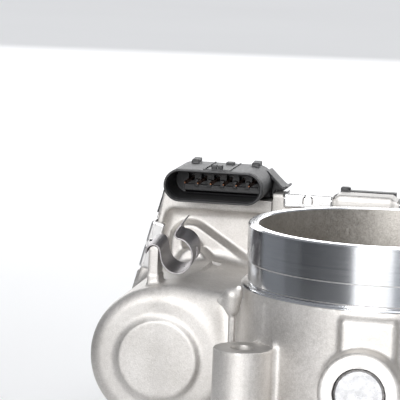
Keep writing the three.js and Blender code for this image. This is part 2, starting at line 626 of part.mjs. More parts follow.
function returnSpring() {
  const coilR = 18;
  const wireR = 0.9;
  const turns = 4;
  const start = SPRING_POCKET + wireR + GAP;
  const pitch = 2.2;
  class Helix extends THREE.Curve {
    getPoint(t, target = new THREE.Vector3()) {
      const a = 2 * Math.PI * turns * t;
      return target.set(coilR * Math.cos(a), start + pitch * turns * t, SHAFT_Z + coilR * Math.sin(a));
    }
  }
  const section = new THREE.Shape();
  section.absarc(0, 0, wireR, 0, 2 * Math.PI);
  return solid(new THREE.ExtrudeGeometry(section, {
    extrudePath: new Helix(), steps: turns * 12, curveSegments: 3, bevelEnabled: false,
  }));
}

// ---- Motor ----
function motorCan() {
  const r = MOTOR_CAN_R;
  const nose = MOTOR_NOSE + 5 + GAP + 0.6;
  const profile = [[2.2, nose - 2.4], [4.4, nose - 2.4], [4.4, nose], [r - 1.5, nose], [r, nose + 1.5],
    [r, 48.6], [r - 1.2, 48.6], [r - 1.2, nose + 1.8], [3.2, nose + 1.4], [3.2, nose - 1.2], [2.2, nose - 1.2],
    [2.2, nose - 2.4]];
  return turnedY(profile, MOTOR_X, MOTOR_Z, 32);
}

function motorMagnet(side) {
  const arc = ringY(12.4, MOTOR_CAN_R - 1.5, MOTOR_X, MOTOR_Z, 4, 36, 32);
  const half = 60 * Math.PI / 180;
  const reach = 30;
  const corners = [[0, 0], [reach * Math.cos(half), reach * Math.sin(half)], [reach, 0],
    [reach * Math.cos(half), -reach * Math.sin(half)]];
  const wedge = slabY(corners.map(([x, z]) => [MOTOR_X + side * x, MOTOR_Z + z]), 0, 40);
  return arc.intersect(wedge);
}

const slotPlaces = Array.from({ length: 6 }, (_, k) => {
  const a = (k + 0.5) * Math.PI / 3;
  return { x: MOTOR_X + 8 * Math.cos(a), z: MOTOR_Z + 8 * Math.sin(a), angle: a };
});

function armatureCore() {
  const core = ringY(1.6 + GAP, 11.6, MOTOR_X, MOTOR_Z, 7, 33, 36);
  const slots = slotPlaces.map(({ x, z }) => rodY(2.5, x, z, 6, 34, 12));
  const necks = slotPlaces.map(({ angle }) => {
    const geometry = new THREE.BoxGeometry(6, 30, 1.4).translate(10, 20, 0).rotateY(-angle);
    return solid(geometry.translate(MOTOR_X, 0, MOTOR_Z));
  });
  return cut(core, ...slots, ...necks);
}

function armatureWinding() {
  const lump = (y0, y1) => turnedY([[3, y0], [9.4, y0], [10.4, y0 + 1.2], [10.4, y1 - 1.2], [9.4, y1], [3, y1],
    [3, y0]], MOTOR_X, MOTOR_Z, 20);
  const bars = slotPlaces.map(({ x, z }) => rodY(2.1, x, z, 5, 35, 8));
  return join(lump(2, 6.6), lump(33.4, 38), ...bars);
}

function motorEndCap() {
  const plateFront = TRAY_FLOOR + GAP;
  const cup = rodY(15.2, MOTOR_X, MOTOR_Z, 46.5, plateFront + 2, 32);
  const earReach = 24.6;
  const earOutline = rectangle(MOTOR_X - 5.5, MOTOR_X + 5.5, MOTOR_Z - earReach, MOTOR_Z + earReach, 5.4);
  const ears = slabY(roundedOutline(earOutline), plateFront, plateFront + 2);
  const seat = rodY(6 + GAP, MOTOR_X, MOTOR_Z, 48, plateFront + 3);
  const hole = rodY(2.6, MOTOR_X, MOTOR_Z, 45, 60, 16);
  const screwHoles = motorScrewPlaces().map(([x, z]) => rodY(2 + GAP, x, z, 50, 60, 12));
  const bladeHoles = bladePlaces.map((x) => block(x - 0.8, x + 0.8, 45, 60, MOTOR_Z + 4.3, MOTOR_Z + 9.7));
  const brushBays = [-1, 1].map((side) => block(
    Math.min(MOTOR_X + side * 4, MOTOR_X + side * 12.6), Math.max(MOTOR_X + side * 4, MOTOR_X + side * 12.6),
    45, 47.2, MOTOR_Z - 3, MOTOR_Z + 3));
  return cut(join(cup, ears), seat, hole, ...screwHoles, ...bladeHoles, ...brushBays);
}

const bladePlaces = [MOTOR_X - 11, MOTOR_X + 11];

function motorTerminal(x) {
  return block(x - 0.4, x + 0.4, 45.4, 61, MOTOR_Z + 4.7, MOTOR_Z + 9.3);
}

function brush(side) {
  const x = [MOTOR_X + side * 5.2, MOTOR_X + side * 12].sort((a, b) => a - b);
  return block(x[0], x[1], 40.5, 46.2, MOTOR_Z - 2.4, MOTOR_Z + 2.4);
}

function motorScrew([x, z]) {
  const seat = TRAY_FLOOR + GAP + 2 + GAP;
  const screw = turnedY([[0, 45], [2, 45], [2, seat], [3.6, seat], [3.6, seat + 1.6], [2.6, seat + 2.4],
    [0, seat + 2.4]], x, z, 12);
  return cut(screw, block(x - 2.4, x + 2.4, seat + 1.2, seat + 4, z - 0.5, z + 0.5));
}

// ---- Gears between the motor and the shaft ----
function idlerGear() {
  const smallPhase = towardsMotor + Math.PI + halfPitch(IDLER_SMALL_TEETH);
  const small = gearY(IDLER_SMALL_TEETH, smallPhase, IDLER_X, IDLER_Z, SECTOR_FRONT - 0.5, LARGE_FRONT + 1);
  const large = gearY(IDLER_LARGE_TEETH, towardsMotor, IDLER_X, IDLER_Z, LARGE_FRONT, LARGE_BACK);
  const hole = rodY(2.5 + GAP, IDLER_X, IDLER_Z, 50, 80, 16);
  const relief = ringY(8, 22, IDLER_X, IDLER_Z, LARGE_BACK - 1.5, LARGE_BACK + 1, 24);
  return cut(join(small, large), hole, relief);
}

function motorPinion() {
  const phase = towardsMotor + Math.PI + halfPitch(PINION_TEETH);
  const pinion = gearY(PINION_TEETH, phase, MOTOR_X, MOTOR_Z, LARGE_FRONT - 0.5, LARGE_BACK + 0.5);
  return cut(pinion, rodY(1.6 + GAP, MOTOR_X, MOTOR_Z, 50, 80, 12));
}

// ---- The pieces ----
addPart('housing', housing(), CAST);
addPart('gear_cover', gearCover(), BLACK_PLASTIC);
addPart('cover_seal', coverSeal(), RUBBER);
pinPlaces().forEach((x, i) => addPart(`terminal_pin_${i + 1}`, terminalPin(x), COPPER));
clipPlaces().forEach((place, i) => addPart(`cover_clip_${i + 1}`, coverClip(place), BRIGHT_STEEL));
addPart('harness_clip', harnessClip(), SPRING_STEEL);

addPart('throttle_shaft', throttleShaft(), STEEL);
addPart('throttle_plate', throttlePlate(), BRASS);
screwYs.forEach((y, i) => addPart(`plate_screw_${i + 1}`, plateScrew(y), STEEL));
addPart('front_bearing', ringY(SHAFT_R + GAP, 7, 0, SHAFT_Z, -47.5, -41.5), STEEL);
addPart('front_seal', ringY(SHAFT_R + GAP, 7, 0, SHAFT_Z, -41.2, -39.8), RUBBER);
addPart('shaft_plug', turnedY([[0, -50.8], [6.4, -50.8], [7, -50.2], [7, -48.4], [6, -48.4], [6, -49.8],
  [0, -49.8]], 0, SHAFT_Z), STEEL);
addPart('rear_bearing', ringY(SHAFT_R + GAP, BEARING_R, 0, SHAFT_Z, BEARING_FRONT, BEARING_BACK), STEEL);
addPart('rear_seal', ringY(SHAFT_R + GAP, BEARING_R, 0, SHAFT_Z, 39.8, BEARING_FRONT - GAP), RUBBER);
addPart('sector_gear', sectorGear(), GEAR_PLASTIC);
addPart('sensor_magnet', ringY(1.5, 5, 0, SHAFT_Z, 64.1, 67), MAGNET);
addPart('return_spring', returnSpring(), SPRING_STEEL);

addPart('motor_can', motorCan(), STEEL);
[1, -1].forEach((side, i) => addPart(`motor_magnet_${i + 1}`, motorMagnet(side), MAGNET));
addPart('motor_shaft', rodY(1.6, MOTOR_X, MOTOR_Z, MOTOR_NOSE + 4.4, LARGE_BACK + 0.5, 16), STEEL);
addPart('motor_front_bush', ringY(1.6 + GAP, 2.9, MOTOR_X, MOTOR_Z, MOTOR_NOSE + 5, MOTOR_NOSE + 7, 16),
  BRASS);
addPart('armature_core', armatureCore(), STEEL);
addPart('armature_winding', armatureWinding(), COPPER);
addPart('commutator', ringY(1.6 + GAP, 4.9, MOTOR_X, MOTOR_Z, 39, 46, 20), COPPER);
addPart('motor_rear_bearing', ringY(1.6 + GAP, 6, MOTOR_X, MOTOR_Z, 48.3, 52.3, 20), STEEL);
addPart('motor_end_cap', motorEndCap(), BLACK_PLASTIC);
[1, -1].forEach((side, i) => addPart(`brush_${i + 1}`, brush(side), CARBON));
bladePlaces.forEach((x, i) => addPart(`motor_terminal_${i + 1}`, motorTerminal(x), BRASS));
motorScrewPlaces().forEach((place, i) => addPart(`motor_screw_${i + 1}`, motorScrew(place), STEEL));
addPart('wave_washer', ringY(9, 14, MOTOR_X, MOTOR_Z, MOTOR_NOSE + 5.15, MOTOR_NOSE + 5.6, 24),
  SPRING_STEEL);
addPart('motor_pinion', motorPinion(), BRASS);
addPart('idler_gear', idlerGear(), GEAR_PLASTIC);
addPart('idler_pin', rodY(2.5, IDLER_X, IDLER_Z, 47.8, 71.5, 16), STEEL);
addPart('sensor_board', block(-11, 12, 70.4, 72, 26, 66), BOARD);

// ---- Origin under the middle of the footprint ----
const extent = new THREE.Box3().setFromObject(assembly);
const middle = extent.getCenter(new THREE.Vector3());
assembly.position.set(-middle.x, -middle.y, -extent.min.z);

export default assembly;
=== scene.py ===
"""Looks of the throttle body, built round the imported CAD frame.

Shapes are drawn in millimetres from the bore axis at the manifold face, as the casting drawing would
be, and moved into the frame's metres when a mesh is made. Cast and moulded pieces are distance
fields meshed by dual contouring, so that their fillets run into each other like a real casting's.
"""
import json
import math

import bpy
import numpy as np
from mathutils import Matrix, Vector


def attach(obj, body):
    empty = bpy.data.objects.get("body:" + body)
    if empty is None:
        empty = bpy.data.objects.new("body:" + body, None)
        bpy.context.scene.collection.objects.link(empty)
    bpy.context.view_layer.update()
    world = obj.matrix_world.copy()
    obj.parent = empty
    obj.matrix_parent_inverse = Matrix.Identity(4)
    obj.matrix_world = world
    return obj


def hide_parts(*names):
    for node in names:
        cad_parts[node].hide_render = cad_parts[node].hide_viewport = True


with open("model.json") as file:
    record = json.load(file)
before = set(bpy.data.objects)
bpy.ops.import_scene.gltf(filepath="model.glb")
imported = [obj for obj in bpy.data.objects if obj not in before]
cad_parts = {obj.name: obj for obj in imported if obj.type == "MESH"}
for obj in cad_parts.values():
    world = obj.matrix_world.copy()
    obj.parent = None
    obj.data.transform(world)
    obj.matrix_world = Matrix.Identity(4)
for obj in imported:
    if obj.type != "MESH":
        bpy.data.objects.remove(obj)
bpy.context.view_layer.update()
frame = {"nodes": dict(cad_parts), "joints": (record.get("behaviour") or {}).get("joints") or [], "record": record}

MM = 0.001
JOINTS = {joint["name"]: joint for joint in frame["joints"]}
THROTTLE_AXIS = Vector(JOINTS["throttle_turn"]["pos_m"])
BORE = Vector((THROTTLE_AXIS.x, THROTTLE_AXIS.y, 0.0))

# ---- Dimensions of the object, in millimetres; X and Y from the bore's axis, Z from the manifold face ----
SHAFT_Z = THROTTLE_AXIS.z / MM
RIM_Z = 77.0
BORE_R = 37.0
SPIGOT_R = 40.0
NECK_R = 39.6
SPIGOT_STEP_Z = RIM_Z - 10.8
LIP_Z = RIM_Z - 17.8
BARREL_R = 41.5
BOLT_REACH = 35.0
BOLT_HOLE_R = 3.4
COLUMN_R = 8.2
COLUMN_TOP = 45.5
FLANGE_TOP = 9.0
MOTOR_X, MOTOR_Z = -64.9, 34.4
MOTOR_R = 21.0
MOTOR_NOSE = -7.5
MOTOR_BOSS_R = 11.9
MOTOR_SPACE_R = 17.3                        # hollow round the motor
MOTOR_SCREW_REACH = 20.8                    # from the motor's axis to each of its two screws
WEB_TOP = RIM_Z - 22.6                      # web between the motor housing and the barrel
WEB_MARK_X, WEB_MARK_Y = -57.3, 33.5        # shallow recess in the web's top
WEB_MARK_HALF_WIDTH, WEB_MARK_HALF_LENGTH, WEB_MARK_DEPTH = 1.7, 9.7, 0.9
SHAFT_BOSS_R, SHAFT_BOSS_END = 11.5, -51.0
REAR_BOSS_R = 23.5
POST_X, POST_Y, POST_TOP = -41.0, -19.0, 59.3
BAR_X, BAR_Y, BAR_TOP = -26.7, -31.9, 46.0
LIP_FRONT, WALL_FRONT, TRAY_FLOOR, PARTING = 47.0, 50.5, 53.5, 56.0
COVER_BACK = 74.8
TRAY_TOP, TRAY_BOTTOM, TRAY_LEFT, TRAY_RIGHT = 78.0, 4.0, -86.5, 31.0
GAP = 0.3
CONNECTOR_X, CONNECTOR_Z = -57.35, RIM_Z + 4.0
CONNECTOR_W, CONNECTOR_H, CONNECTOR_WALL = 30.7, 10.1, 0.9
CONNECTOR_MOUTH, CONNECTOR_DEPTH, CONNECTOR_BACK = 31.5, 15.0, 54.0
PINS_X, PIN_PITCH, PIN_Z, PIN_TIP, PIN_ROOT = -56.7, 4.0, RIM_Z + 4.5, 35.0, 52.0
LIP_BOTTOM = 71.6
NOTCH_LEFT, NOTCH_RIGHT = -74.0, -41.1      # in the tray's lip, under the connector
PAD_LEFT, PAD_RIGHT, PAD_TOP = -21.0, -4.0, RIM_Z + 1.9
TAB_X, TAB_FRONT, TAB_W, TAB_L, TAB_TOP = -68.5, 0.0, 3.1, 7.0, RIM_Z - 10.2
TAB_ROUND_Z = TAB_TOP - TAB_W / 2
STRIP_FRONT, STRIP_WIDTH, STRIP_RISE = -1.0, 12.0, 0.115
STRIP_THICKNESS = 0.44
LOOP_X, LOOP_Z = TAB_X + 7.1, TAB_TOP - 2.4
LOOP_HALF_WIDTH, LOOP_HALF_HEIGHT = 4.7, 5.2
ARCH_X, ARCH_Z, ARCH_R, ARCH_SLOPE = -67.0, RIM_Z - 16.1, 6.8, math.radians(-33)
CLIP_W, CLIP_THICKNESS, CLIP_LEG = 15.4, 0.8, 4.0
PLATE_R, PLATE_HALF = 36.5, 1.0
PLATE_SCREW_Y = 14.0
REST_TILT = math.radians(7)
PAST = 9.0                                  # a cutting shape runs this far past what it cuts


# ---- Distance fields: negative inside, in millimetres ----
def union(*fields):
    result = fields[0]
    for field in fields[1:]:
        result = np.minimum(result, field)
    return result


def blend_union(a, b, radius):
    """Union with a fillet of about this radius where the two surfaces meet."""
    h = np.maximum(radius - np.abs(a - b), 0.0) / radius
    return np.minimum(a, b) - h * h * radius * 0.25


def blend_cut(a, b, radius):
    """a without b, with the edge rounded over."""
    h = np.maximum(radius - np.abs(a + b), 0.0) / radius
    return np.maximum(a, -b) + h * h * radius * 0.25


def cut(a, *tools):
    for tool in tools:
        a = np.maximum(a, -tool)
    return a


def capped(d, along, low, high, edge=0.0):
    """A cross-section's distance d, given length between low and high, with rounded end edges."""
    e = np.abs(along - (low + high) / 2) - (high - low) / 2
    d, e = d + edge, e + edge
    outside = np.sqrt(np.maximum(d, 0.0) ** 2 + np.maximum(e, 0.0) ** 2)
    return outside + np.minimum(np.maximum(d, e), 0.0) - edge


def rod_z(p, x, y, r, z0, z1, edge=0.0):
    return capped(np.hypot(p[0] - x, p[1] - y) - r, p[2], z0, z1, edge)


def rod_y(p, x, z, r, y0, y1, edge=0.0):
    return capped(np.hypot(p[0] - x, p[2] - z) - r, p[1], y0, y1, edge)


def box(p, x, y, z, edge=0.0):
    """x, y and z are (low, high) pairs."""
    q = [np.abs(c - (s[0] + s[1]) / 2) - (s[1] - s[0]) / 2 + edge for c, s in zip(p, (x, y, z))]
    outside = np.sqrt(sum(np.maximum(c, 0.0) ** 2 for c in q))
    return outside + np.minimum(np.maximum(np.maximum(q[0], q[1]), q[2]), 0.0) - edge


def outline_distance(u, v, points):
    """Signed distance in a plane to a closed outline."""
    nearest = None
    inside = None
    for (ax, ay), (bx, by) in zip(points, points[1:] + points[:1]):
        ex, ey = bx - ax, by - ay
        wx, wy = u - ax, v - ay
        t = np.clip((wx * ex + wy * ey) / (ex * ex + ey * ey), 0.0, 1.0)
        d = (wx - ex * t) ** 2 + (wy - ey * t) ** 2
        side = ex * wy - ey * wx
        crossing = ((v >= ay) & (v < by) & (side > 0)) | ((v < ay) & (v >= by) & (side < 0))
        nearest = d if nearest is None else np.minimum(nearest, d)
        inside = crossing if inside is None else inside ^ crossing
    return np.where(inside, -1.0, 1.0) * np.sqrt(nearest)


def prism_y(p, points, y0, y1, edge=0.0, grow=0.0):
    return capped(outline_distance(p[0], p[2], points) - grow, p[1], y0, y1, edge)


def rounded_outline(corners, inset=0.0, steps=6):
    """A convex outline from (x, z, radius) corners in counter-clockwise order."""
    sides = []
    for (x, z, _), (nx, nz, _) in zip(corners, corners[1:] + corners[:1]):
        along = Vector((nx - x, nz - z)).normalized()
        sides.append((Vector((x, z)) + Vector((-along.y, along.x)) * inset, along))
    points = []
    for i, (_, _, radius) in enumerate(corners):
        (p, a), (q, b) = sides[i - 1], sides[i]
        turn = a.x * b.y - a.y * b.x
        reach = ((q - p).x * b.y - (q - p).y * b.x) / turn
        radius = max(radius - inset, 0.4)
        angle = math.acos(max(-1.0, min(1.0, a.dot(b))))
        start = p + a * (reach - radius * math.tan(angle / 2))
        centre = start + Vector((-a.y, a.x)) * radius
        first = math.atan2(start.y - centre.y, start.x - centre.x)
        for k in range(steps + 1):
            t = first + angle * k / steps
            points.append((centre.x + radius * math.cos(t), centre.y + radius * math.sin(t)))
    return points


# ---- Meshing of a distance field ----
def grid_axis(*stretches):
    """Grid lines from (start, step) pairs and a last plain end value."""
    lines = []
    for (start, step), after in zip(stretches[:-1], stretches[1:]):
        end = after[0] if isinstance(after, tuple) else after
        count = max(1, round((end - start) / step))
        lines.extend(start + (end - start) * i / count for i in range(count))
    lines.append(stretches[-1])
    return np.array(lines)


def gradient_at(field, points, reach=0.02):
    base = field(tuple(points.T))
    slopes = []
    for axis in range(3):
        moved = points.copy()
        moved[:, axis] += reach
        slopes.append(field(tuple(moved.T)) - base)
    normals = np.stack(slopes, axis=1)
    return normals / np.maximum(np.linalg.norm(normals, axis=1, keepdims=True), 1e-9)


def contour(field, xs, ys, zs, crispness=0.04):
    """Dual contouring on a grid of unequal steps: returns vertices and quads."""
    values = field((xs[:, None, None], ys[None, :, None], zs[None, None, :]))
    values = np.broadcast_to(values, (len(xs), len(ys), len(zs)))
    inside = values < 0
    lines = (xs, ys, zs)
    cells = (len(xs) - 1, len(ys) - 1, len(zs) - 1)
    edge_points, edge_cells, edge_flip = [], [], []
    for axis in range(3):
        low = [slice(None)] * 3
        high = [slice(None)] * 3
        low[axis], high[axis] = slice(0, -1), slice(1, None)
        i, j, k = np.nonzero(inside[tuple(low)] != inside[tuple(high)])
        index = [i, j, k]
        ahead = [c + (1 if a == axis else 0) for a, c in enumerate(index)]
        start, end = values[i, j, k], values[tuple(ahead)]
        t = start / (start - end)
        place = [lines[a][index[a]] for a in range(3)]
        place[axis] = place[axis] + t * (lines[axis][ahead[axis]] - lines[axis][index[axis]])
        b, c = (axis + 1) % 3, (axis + 2) % 3
        keep = (index[b] > 0) & (index[c] > 0) & (index[b] < cells[b]) & (index[c] < cells[c])
        around = []
        for db, dc in ((-1, -1), (0, -1), (0, 0), (-1, 0)):
            cell = [index[a][keep] for a in range(3)]
            cell[b] = cell[b] + db
            cell[c] = cell[c] + dc
            around.append((cell[0] * cells[1] + cell[1]) * cells[2] + cell[2])
        edge_points.append(np.stack(place, axis=1)[keep])
        edge_cells.append(np.stack(around, axis=1))
        edge_flip.append(~inside[i, j, k][keep])
    points = np.concatenate(edge_points)
    around = np.concatenate(edge_cells)
    flip = np.concatenate(edge_flip)
    normals = gradient_at(field, points)
    used, compact = np.unique(around, return_inverse=True)
    quads = compact.reshape(around.shape)
    total = len(used)
    owner = quads.ravel()
    p4 = np.repeat(points, 4, axis=0)
    n4 = np.repeat(normals, 4, axis=0)
    count = np.bincount(owner, minlength=total)
    middle = np.stack([np.bincount(owner, p4[:, a], total) for a in range(3)], axis=1) / count[:, None]
    matrix = np.zeros((total, 3, 3))
    for a in range(3):
        for b in range(a, 3):
            matrix[:, a, b] = matrix[:, b, a] = np.bincount(owner, n4[:, a] * n4[:, b], total)
    reach = np.einsum("ij,ij->i", n4, p4 - middle[owner])
    target = np.stack([np.bincount(owner, n4[:, a] * reach, total) for a in range(3)], axis=1)
    matrix += np.eye(3) * crispness * count[:, None, None]
    vertices = middle + np.linalg.solve(matrix, target[:, :, None])[:, :, 0]
    cell_index = np.unravel_index(used, cells)
    for a in range(3):
        vertices[:, a] = np.clip(vertices[:, a], lines[a][cell_index[a]], lines[a][cell_index[a] + 1])
    quads[flip] = quads[flip][:, ::-1]
    return vertices, quads


def add_mesh(name, vertices, faces, sharp_angle=32.0):
    """A mesh from millimetre vertices about the bore axis, smooth except at its sharp edges."""
    mesh = bpy.data.meshes.new(name)
    mesh.from_pydata((np.asarray(vertices) * MM + np.array(BORE)).tolist(), [], np.asarray(faces).tolist())
    mesh.validate()
    mesh.shade_smooth()
    mesh.set_sharp_from_angle(angle=math.radians(sharp_angle))
    piece = bpy.data.objects.new(name, mesh)
    bpy.context.scene.collection.objects.link(piece)
    return piece


# ---- Cast housing ----
TRAY = [
    (TRAY_LEFT, TRAY_BOTTOM, 24), (TRAY_RIGHT, TRAY_BOTTOM, 25), (TRAY_RIGHT, 56, 16),
    (18.4, TRAY_TOP, 8), (-75.6, TRAY_TOP, 3), (TRAY_LEFT + 0.3, 38, 30),
]
FRONT_POCKET = [
    (TRAY_LEFT + 5, TRAY_BOTTOM + 5, 19), (TRAY_RIGHT - 5, TRAY_BOTTOM + 5, 20), (TRAY_RIGHT - 5, 53, 11),
    (13, LIP_BOTTOM, 6), (-74.3, LIP_BOTTOM, 3), (TRAY_LEFT + 4, 38, 26),
]
TRAY_OUTLINE = rounded_outline(TRAY)
BOLTS = [(a * BOLT_REACH, b * BOLT_REACH) for a, b in ((1, 1), (-1, 1), (-1, -1), (1, -1))]


def left_edge(drop):
    """A place on the tray's sloping left edge, a given height below its top, and the way out there."""
    top, low = TRAY[4], TRAY[5]
    slope = math.atan2(TRAY_TOP - low[1], top[0] - low[0])
    return top[0] - drop / math.tan(slope), TRAY_TOP - drop, slope + math.pi / 2


CLIP_PLACES = (
    [(x, TRAY_TOP, math.pi / 2) for x in (-29.9, 5.9)] + [left_edge(18)]
    + [(x, TRAY_BOTTOM, -math.pi / 2) for x in (-3, -28, -53)] + [(TRAY_RIGHT, 38, 0.0)]
)


def edge_box(p, place, half, out, y, edge=0.0):
    """A box on the tray's edge: half its width along the edge, out of the edge, and along Y."""
    x, z, turn = place
    c, s = math.cos(turn), math.sin(turn)
    outwards = (p[0] - x) * c + (p[2] - z) * s
    along = (p[2] - z) * c - (p[0] - x) * s
    return box((outwards, p[1], along), out, y, (-half, half), edge)


def arch_outline(shrink, length):
    """The raised rib's outline: a round arch whose right side runs down at a slant."""
    radius = ARCH_R - shrink
    points = [(ARCH_X - radius, MOTOR_Z + 10)]
    for k in range(11):
        a = math.pi + (ARCH_SLOPE - math.pi / 2) * k / 10
        points.append((ARCH_X + radius * math.cos(a), ARCH_Z + radius * math.sin(a)))
    x, z = points[-1]
    x, z = x + length * math.cos(ARCH_SLOPE), z + length * math.sin(ARCH_SLOPE)
    return (points + [(x, z), (x, MOTOR_Z + 10)])[::-1]


ARCH_OUTER = arch_outline(0.9, 18.0)
ARCH_INNER = arch_outline(4.6, 16.0)
TRAY_FRONT_POCKET = rounded_outline(FRONT_POCKET)
TRAY_BACK_POCKET = rounded_outline(TRAY, 3.5)
LIP_TRIM = [(-75.2, TRAY_TOP + 1), (TRAY_LEFT - 2, TRAY_TOP + 1), (TRAY_LEFT - 2, 56.0), (-79.6, 56.0)]




def casting(p):
    x, y, z = p
    tray = prism_y(p, TRAY_OUTLINE, LIP_FRONT, PARTING, edge=0.7)
    tray = blend_cut(tray, prism_y(p, TRAY_FRONT_POCKET, LIP_FRONT - 20, WALL_FRONT, edge=2.8), 0.9)
    tray = blend_cut(tray, prism_y(p, LIP_TRIM, LIP_FRONT - PAST, WALL_FRONT - 0.5), 0.8)
    slant = np.maximum(y - (WALL_FRONT - 2.6), 0.0) * 0.45
    rib = capped(outline_distance(x, z, ARCH_OUTER) - slant, y, WALL_FRONT - 3.0, WALL_FRONT + 1, 0.7)
    recess_outline = outline_distance(x, z, ARCH_INNER) + slant * 0.6
    recess = capped(recess_outline, y, LIP_FRONT - PAST, WALL_FRONT - 0.1, 0.7)
    tray = blend_union(tray, blend_cut(rib, recess, 1.0), 0.9)

    motor = rod_y(p, MOTOR_X, MOTOR_Z, MOTOR_R, MOTOR_NOSE + 1, WALL_FRONT + 1, edge=4.2)
    flank = np.clip(y - MOTOR_NOSE, 0.0, 2.5) * 1.1
    boss_radius = np.hypot(x - MOTOR_X, z - MOTOR_Z)
    boss = capped(boss_radius - MOTOR_BOSS_R - flank, y, MOTOR_NOSE - 0.5, 0, 0.8)
    motor = blend_union(motor, boss, 1.2)
    web = box(p, (-64, -30), (-4, WALL_FRONT + 1), (MOTOR_Z - 13, WEB_TOP), edge=4.0)
    motor = blend_union(motor, web, 7.0)

    barrel = rod_z(p, 0, 0, BARREL_R, 0, LIP_Z, edge=0.25)
    shaft_boss = rod_y(p, 0, SHAFT_Z, SHAFT_BOSS_R, SHAFT_BOSS_END, -30, edge=1.2)
    shoulder = box(p, (-7, 8.9), (-44.0, -30), (SHAFT_Z, RIM_Z - 19.6), edge=1.6)
    barrel = blend_union(barrel, blend_union(shaft_boss, shoulder, 1.2), 1.6)
    barrel = blend_union(barrel, rod_y(p, 0, SHAFT_Z, REAR_BOSS_R, 30, WALL_FRONT + 1), 5.0)
    flange = capped(flange_outline(x, y), z, 0, FLANGE_TOP, edge=0.3)
    columns = union(*[rod_z(p, bx, by, COLUMN_R, 0, COLUMN_TOP, edge=0.3) for bx, by in BOLTS])
    base = blend_union(flange, columns, 3.0)
    body = blend_union(barrel, base, 3.5)

    body = blend_union(body, motor, 6.0)
    body = blend_union(body, tray, 4.0)
    body = blend_union(body, small_castings(p), 1.6)
    screw_bosses = union(*[rod_y(p, MOTOR_X, MOTOR_Z + side * MOTOR_SCREW_REACH, 4.6, 42, WALL_FRONT + 1, 1.0)
                           for side in (1, -1)])
    body = blend_union(body, screw_bosses, 2.5)
    across = np.abs(x - WEB_MARK_X) - WEB_MARK_HALF_WIDTH
    along = np.abs(y - WEB_MARK_Y) - WEB_MARK_HALF_LENGTH
    mark = np.where(z > WEB_TOP - 4.4, -np.maximum(across, along), 0.0)
    body = body + WEB_MARK_DEPTH * np.clip(mark * 1.6, 0.0, 1.0)
    return cut(body, *cast_cuts(p))


def flange_outline(x, y):
    reach = BOLT_REACH
    qx, qy = np.abs(x) - reach, np.abs(y) - reach
    outside = np.hypot(np.maximum(qx, 0.0), np.maximum(qy, 0.0))
    return outside + np.minimum(np.maximum(qx, qy), 0.0) - COLUMN_R


def small_castings(p):
    tab = box(p, (TAB_X - TAB_W / 2, TAB_X + TAB_W / 2), (TAB_FRONT, TAB_FRONT + TAB_L),
              (MOTOR_Z + 12, TAB_ROUND_Z), 0.5)
    tab = union(tab, rod_y(p, TAB_X, TAB_ROUND_Z, TAB_W / 2, TAB_FRONT, TAB_FRONT + TAB_L, 0.4))
    tab_foot = box(p, (TAB_X - TAB_W / 2 - 0.3, TAB_X + TAB_W / 2 + 0.3),
                   (TAB_FRONT - 0.3, TAB_FRONT + TAB_L + 0.3), (MOTOR_Z + 12, RIM_Z - 18.2), 0.9)
    taper = np.clip((57.0 - p[2]) * 0.19, 0.0, 1.4)
    front, back = POST_Y - 1, POST_Y + 1
    post = capped(np.hypot(p[0] - POST_X, p[1] - POST_Y) - 2.7 + taper, p[2], 50.8, POST_TOP, 1.9)
    hook = bar_y(p, (POST_X + 0.6, 58.0), (POST_X + 1.8, POST_TOP + 0.1), 1.7, front, back, 0.5)
    fin = bar_y(p, (POST_X - 1.0, 54.6), (POST_X - 3.2, 55.6), 2.4, front, back, 0.5)
    post = blend_union(blend_union(post, hook, 0.9), fin, 2.0)
    post = union(post, rod_z(p, POST_X, POST_Y, 1.0, FLANGE_TOP - 2, 54))
    bar = rod_z(p, BAR_X, BAR_Y, 1.2, FLANGE_TOP - 2, BAR_TOP, edge=0.8)
    pads = [box(p, (PAD_LEFT, PAD_RIGHT), (LIP_FRONT, PARTING), (TRAY_TOP - 3, PAD_TOP), edge=0.8),
            edge_box(p, left_edge(31), 3.5, (-2, 1.2), (PARTING - 5, PARTING), edge=0.5)]
    return union(tab, tab_foot, post, bar, *pads)


def cast_cuts(p):
    """Machined and cored hollows."""
    cuts = [rod_z(p, 0, 0, BORE_R, -5, RIM_Z + 5)]
    cuts += [rod_z(p, bx, by, BOLT_HOLE_R, -5, COLUMN_TOP + 5) for bx, by in BOLTS]
    cuts += [rod_z(p, bx, by, COLUMN_R + 0.2, COLUMN_TOP, LIP_Z - 2, edge=0.3) for bx, by in BOLTS]
    cuts += [
        rod_y(p, 0, SHAFT_Z, 5.3, -50, TRAY_FLOOR + 1), rod_y(p, 0, SHAFT_Z, 7.3, -60, -39.5),
        rod_y(p, 0, SHAFT_Z, 13.3, 39.5, TRAY_FLOOR + 1),
        prism_y(p, TRAY_BACK_POCKET, TRAY_FLOOR, PARTING + PAST),
        np.maximum(rod_y(p, 0, SHAFT_Z, 20.7, 46, TRAY_FLOOR + 1), 15.3 - np.hypot(p[0], p[2] - SHAFT_Z)),
        rod_y(p, MOTOR_X, MOTOR_Z, MOTOR_SPACE_R, MOTOR_NOSE + 5, TRAY_FLOOR + 1),
        rod_y(p, MOTOR_X, MOTOR_Z, 5.0, MOTOR_NOSE + 2.5, MOTOR_NOSE + 8),
        box(p, (NOTCH_LEFT, NOTCH_RIGHT), (LIP_FRONT - PAST, PARTING + PAST),
            (CONNECTOR_Z - CONNECTOR_H / 2 - GAP, TRAY_TOP + PAST), 0.6),
        box(p, (NOTCH_RIGHT - 0.3, NOTCH_RIGHT + 0.2), (LIP_FRONT - PAST, LIP_FRONT + 2),
            (LIP_BOTTOM - 0.5, TRAY_TOP + PAST)),
    ]
    cuts += [edge_box(p, place, CLIP_W / 2 + 0.4, (-0.6, 4), (LIP_FRONT - 1.5, PARTING + PAST))
             for place in CLIP_PLACES]
    return cuts


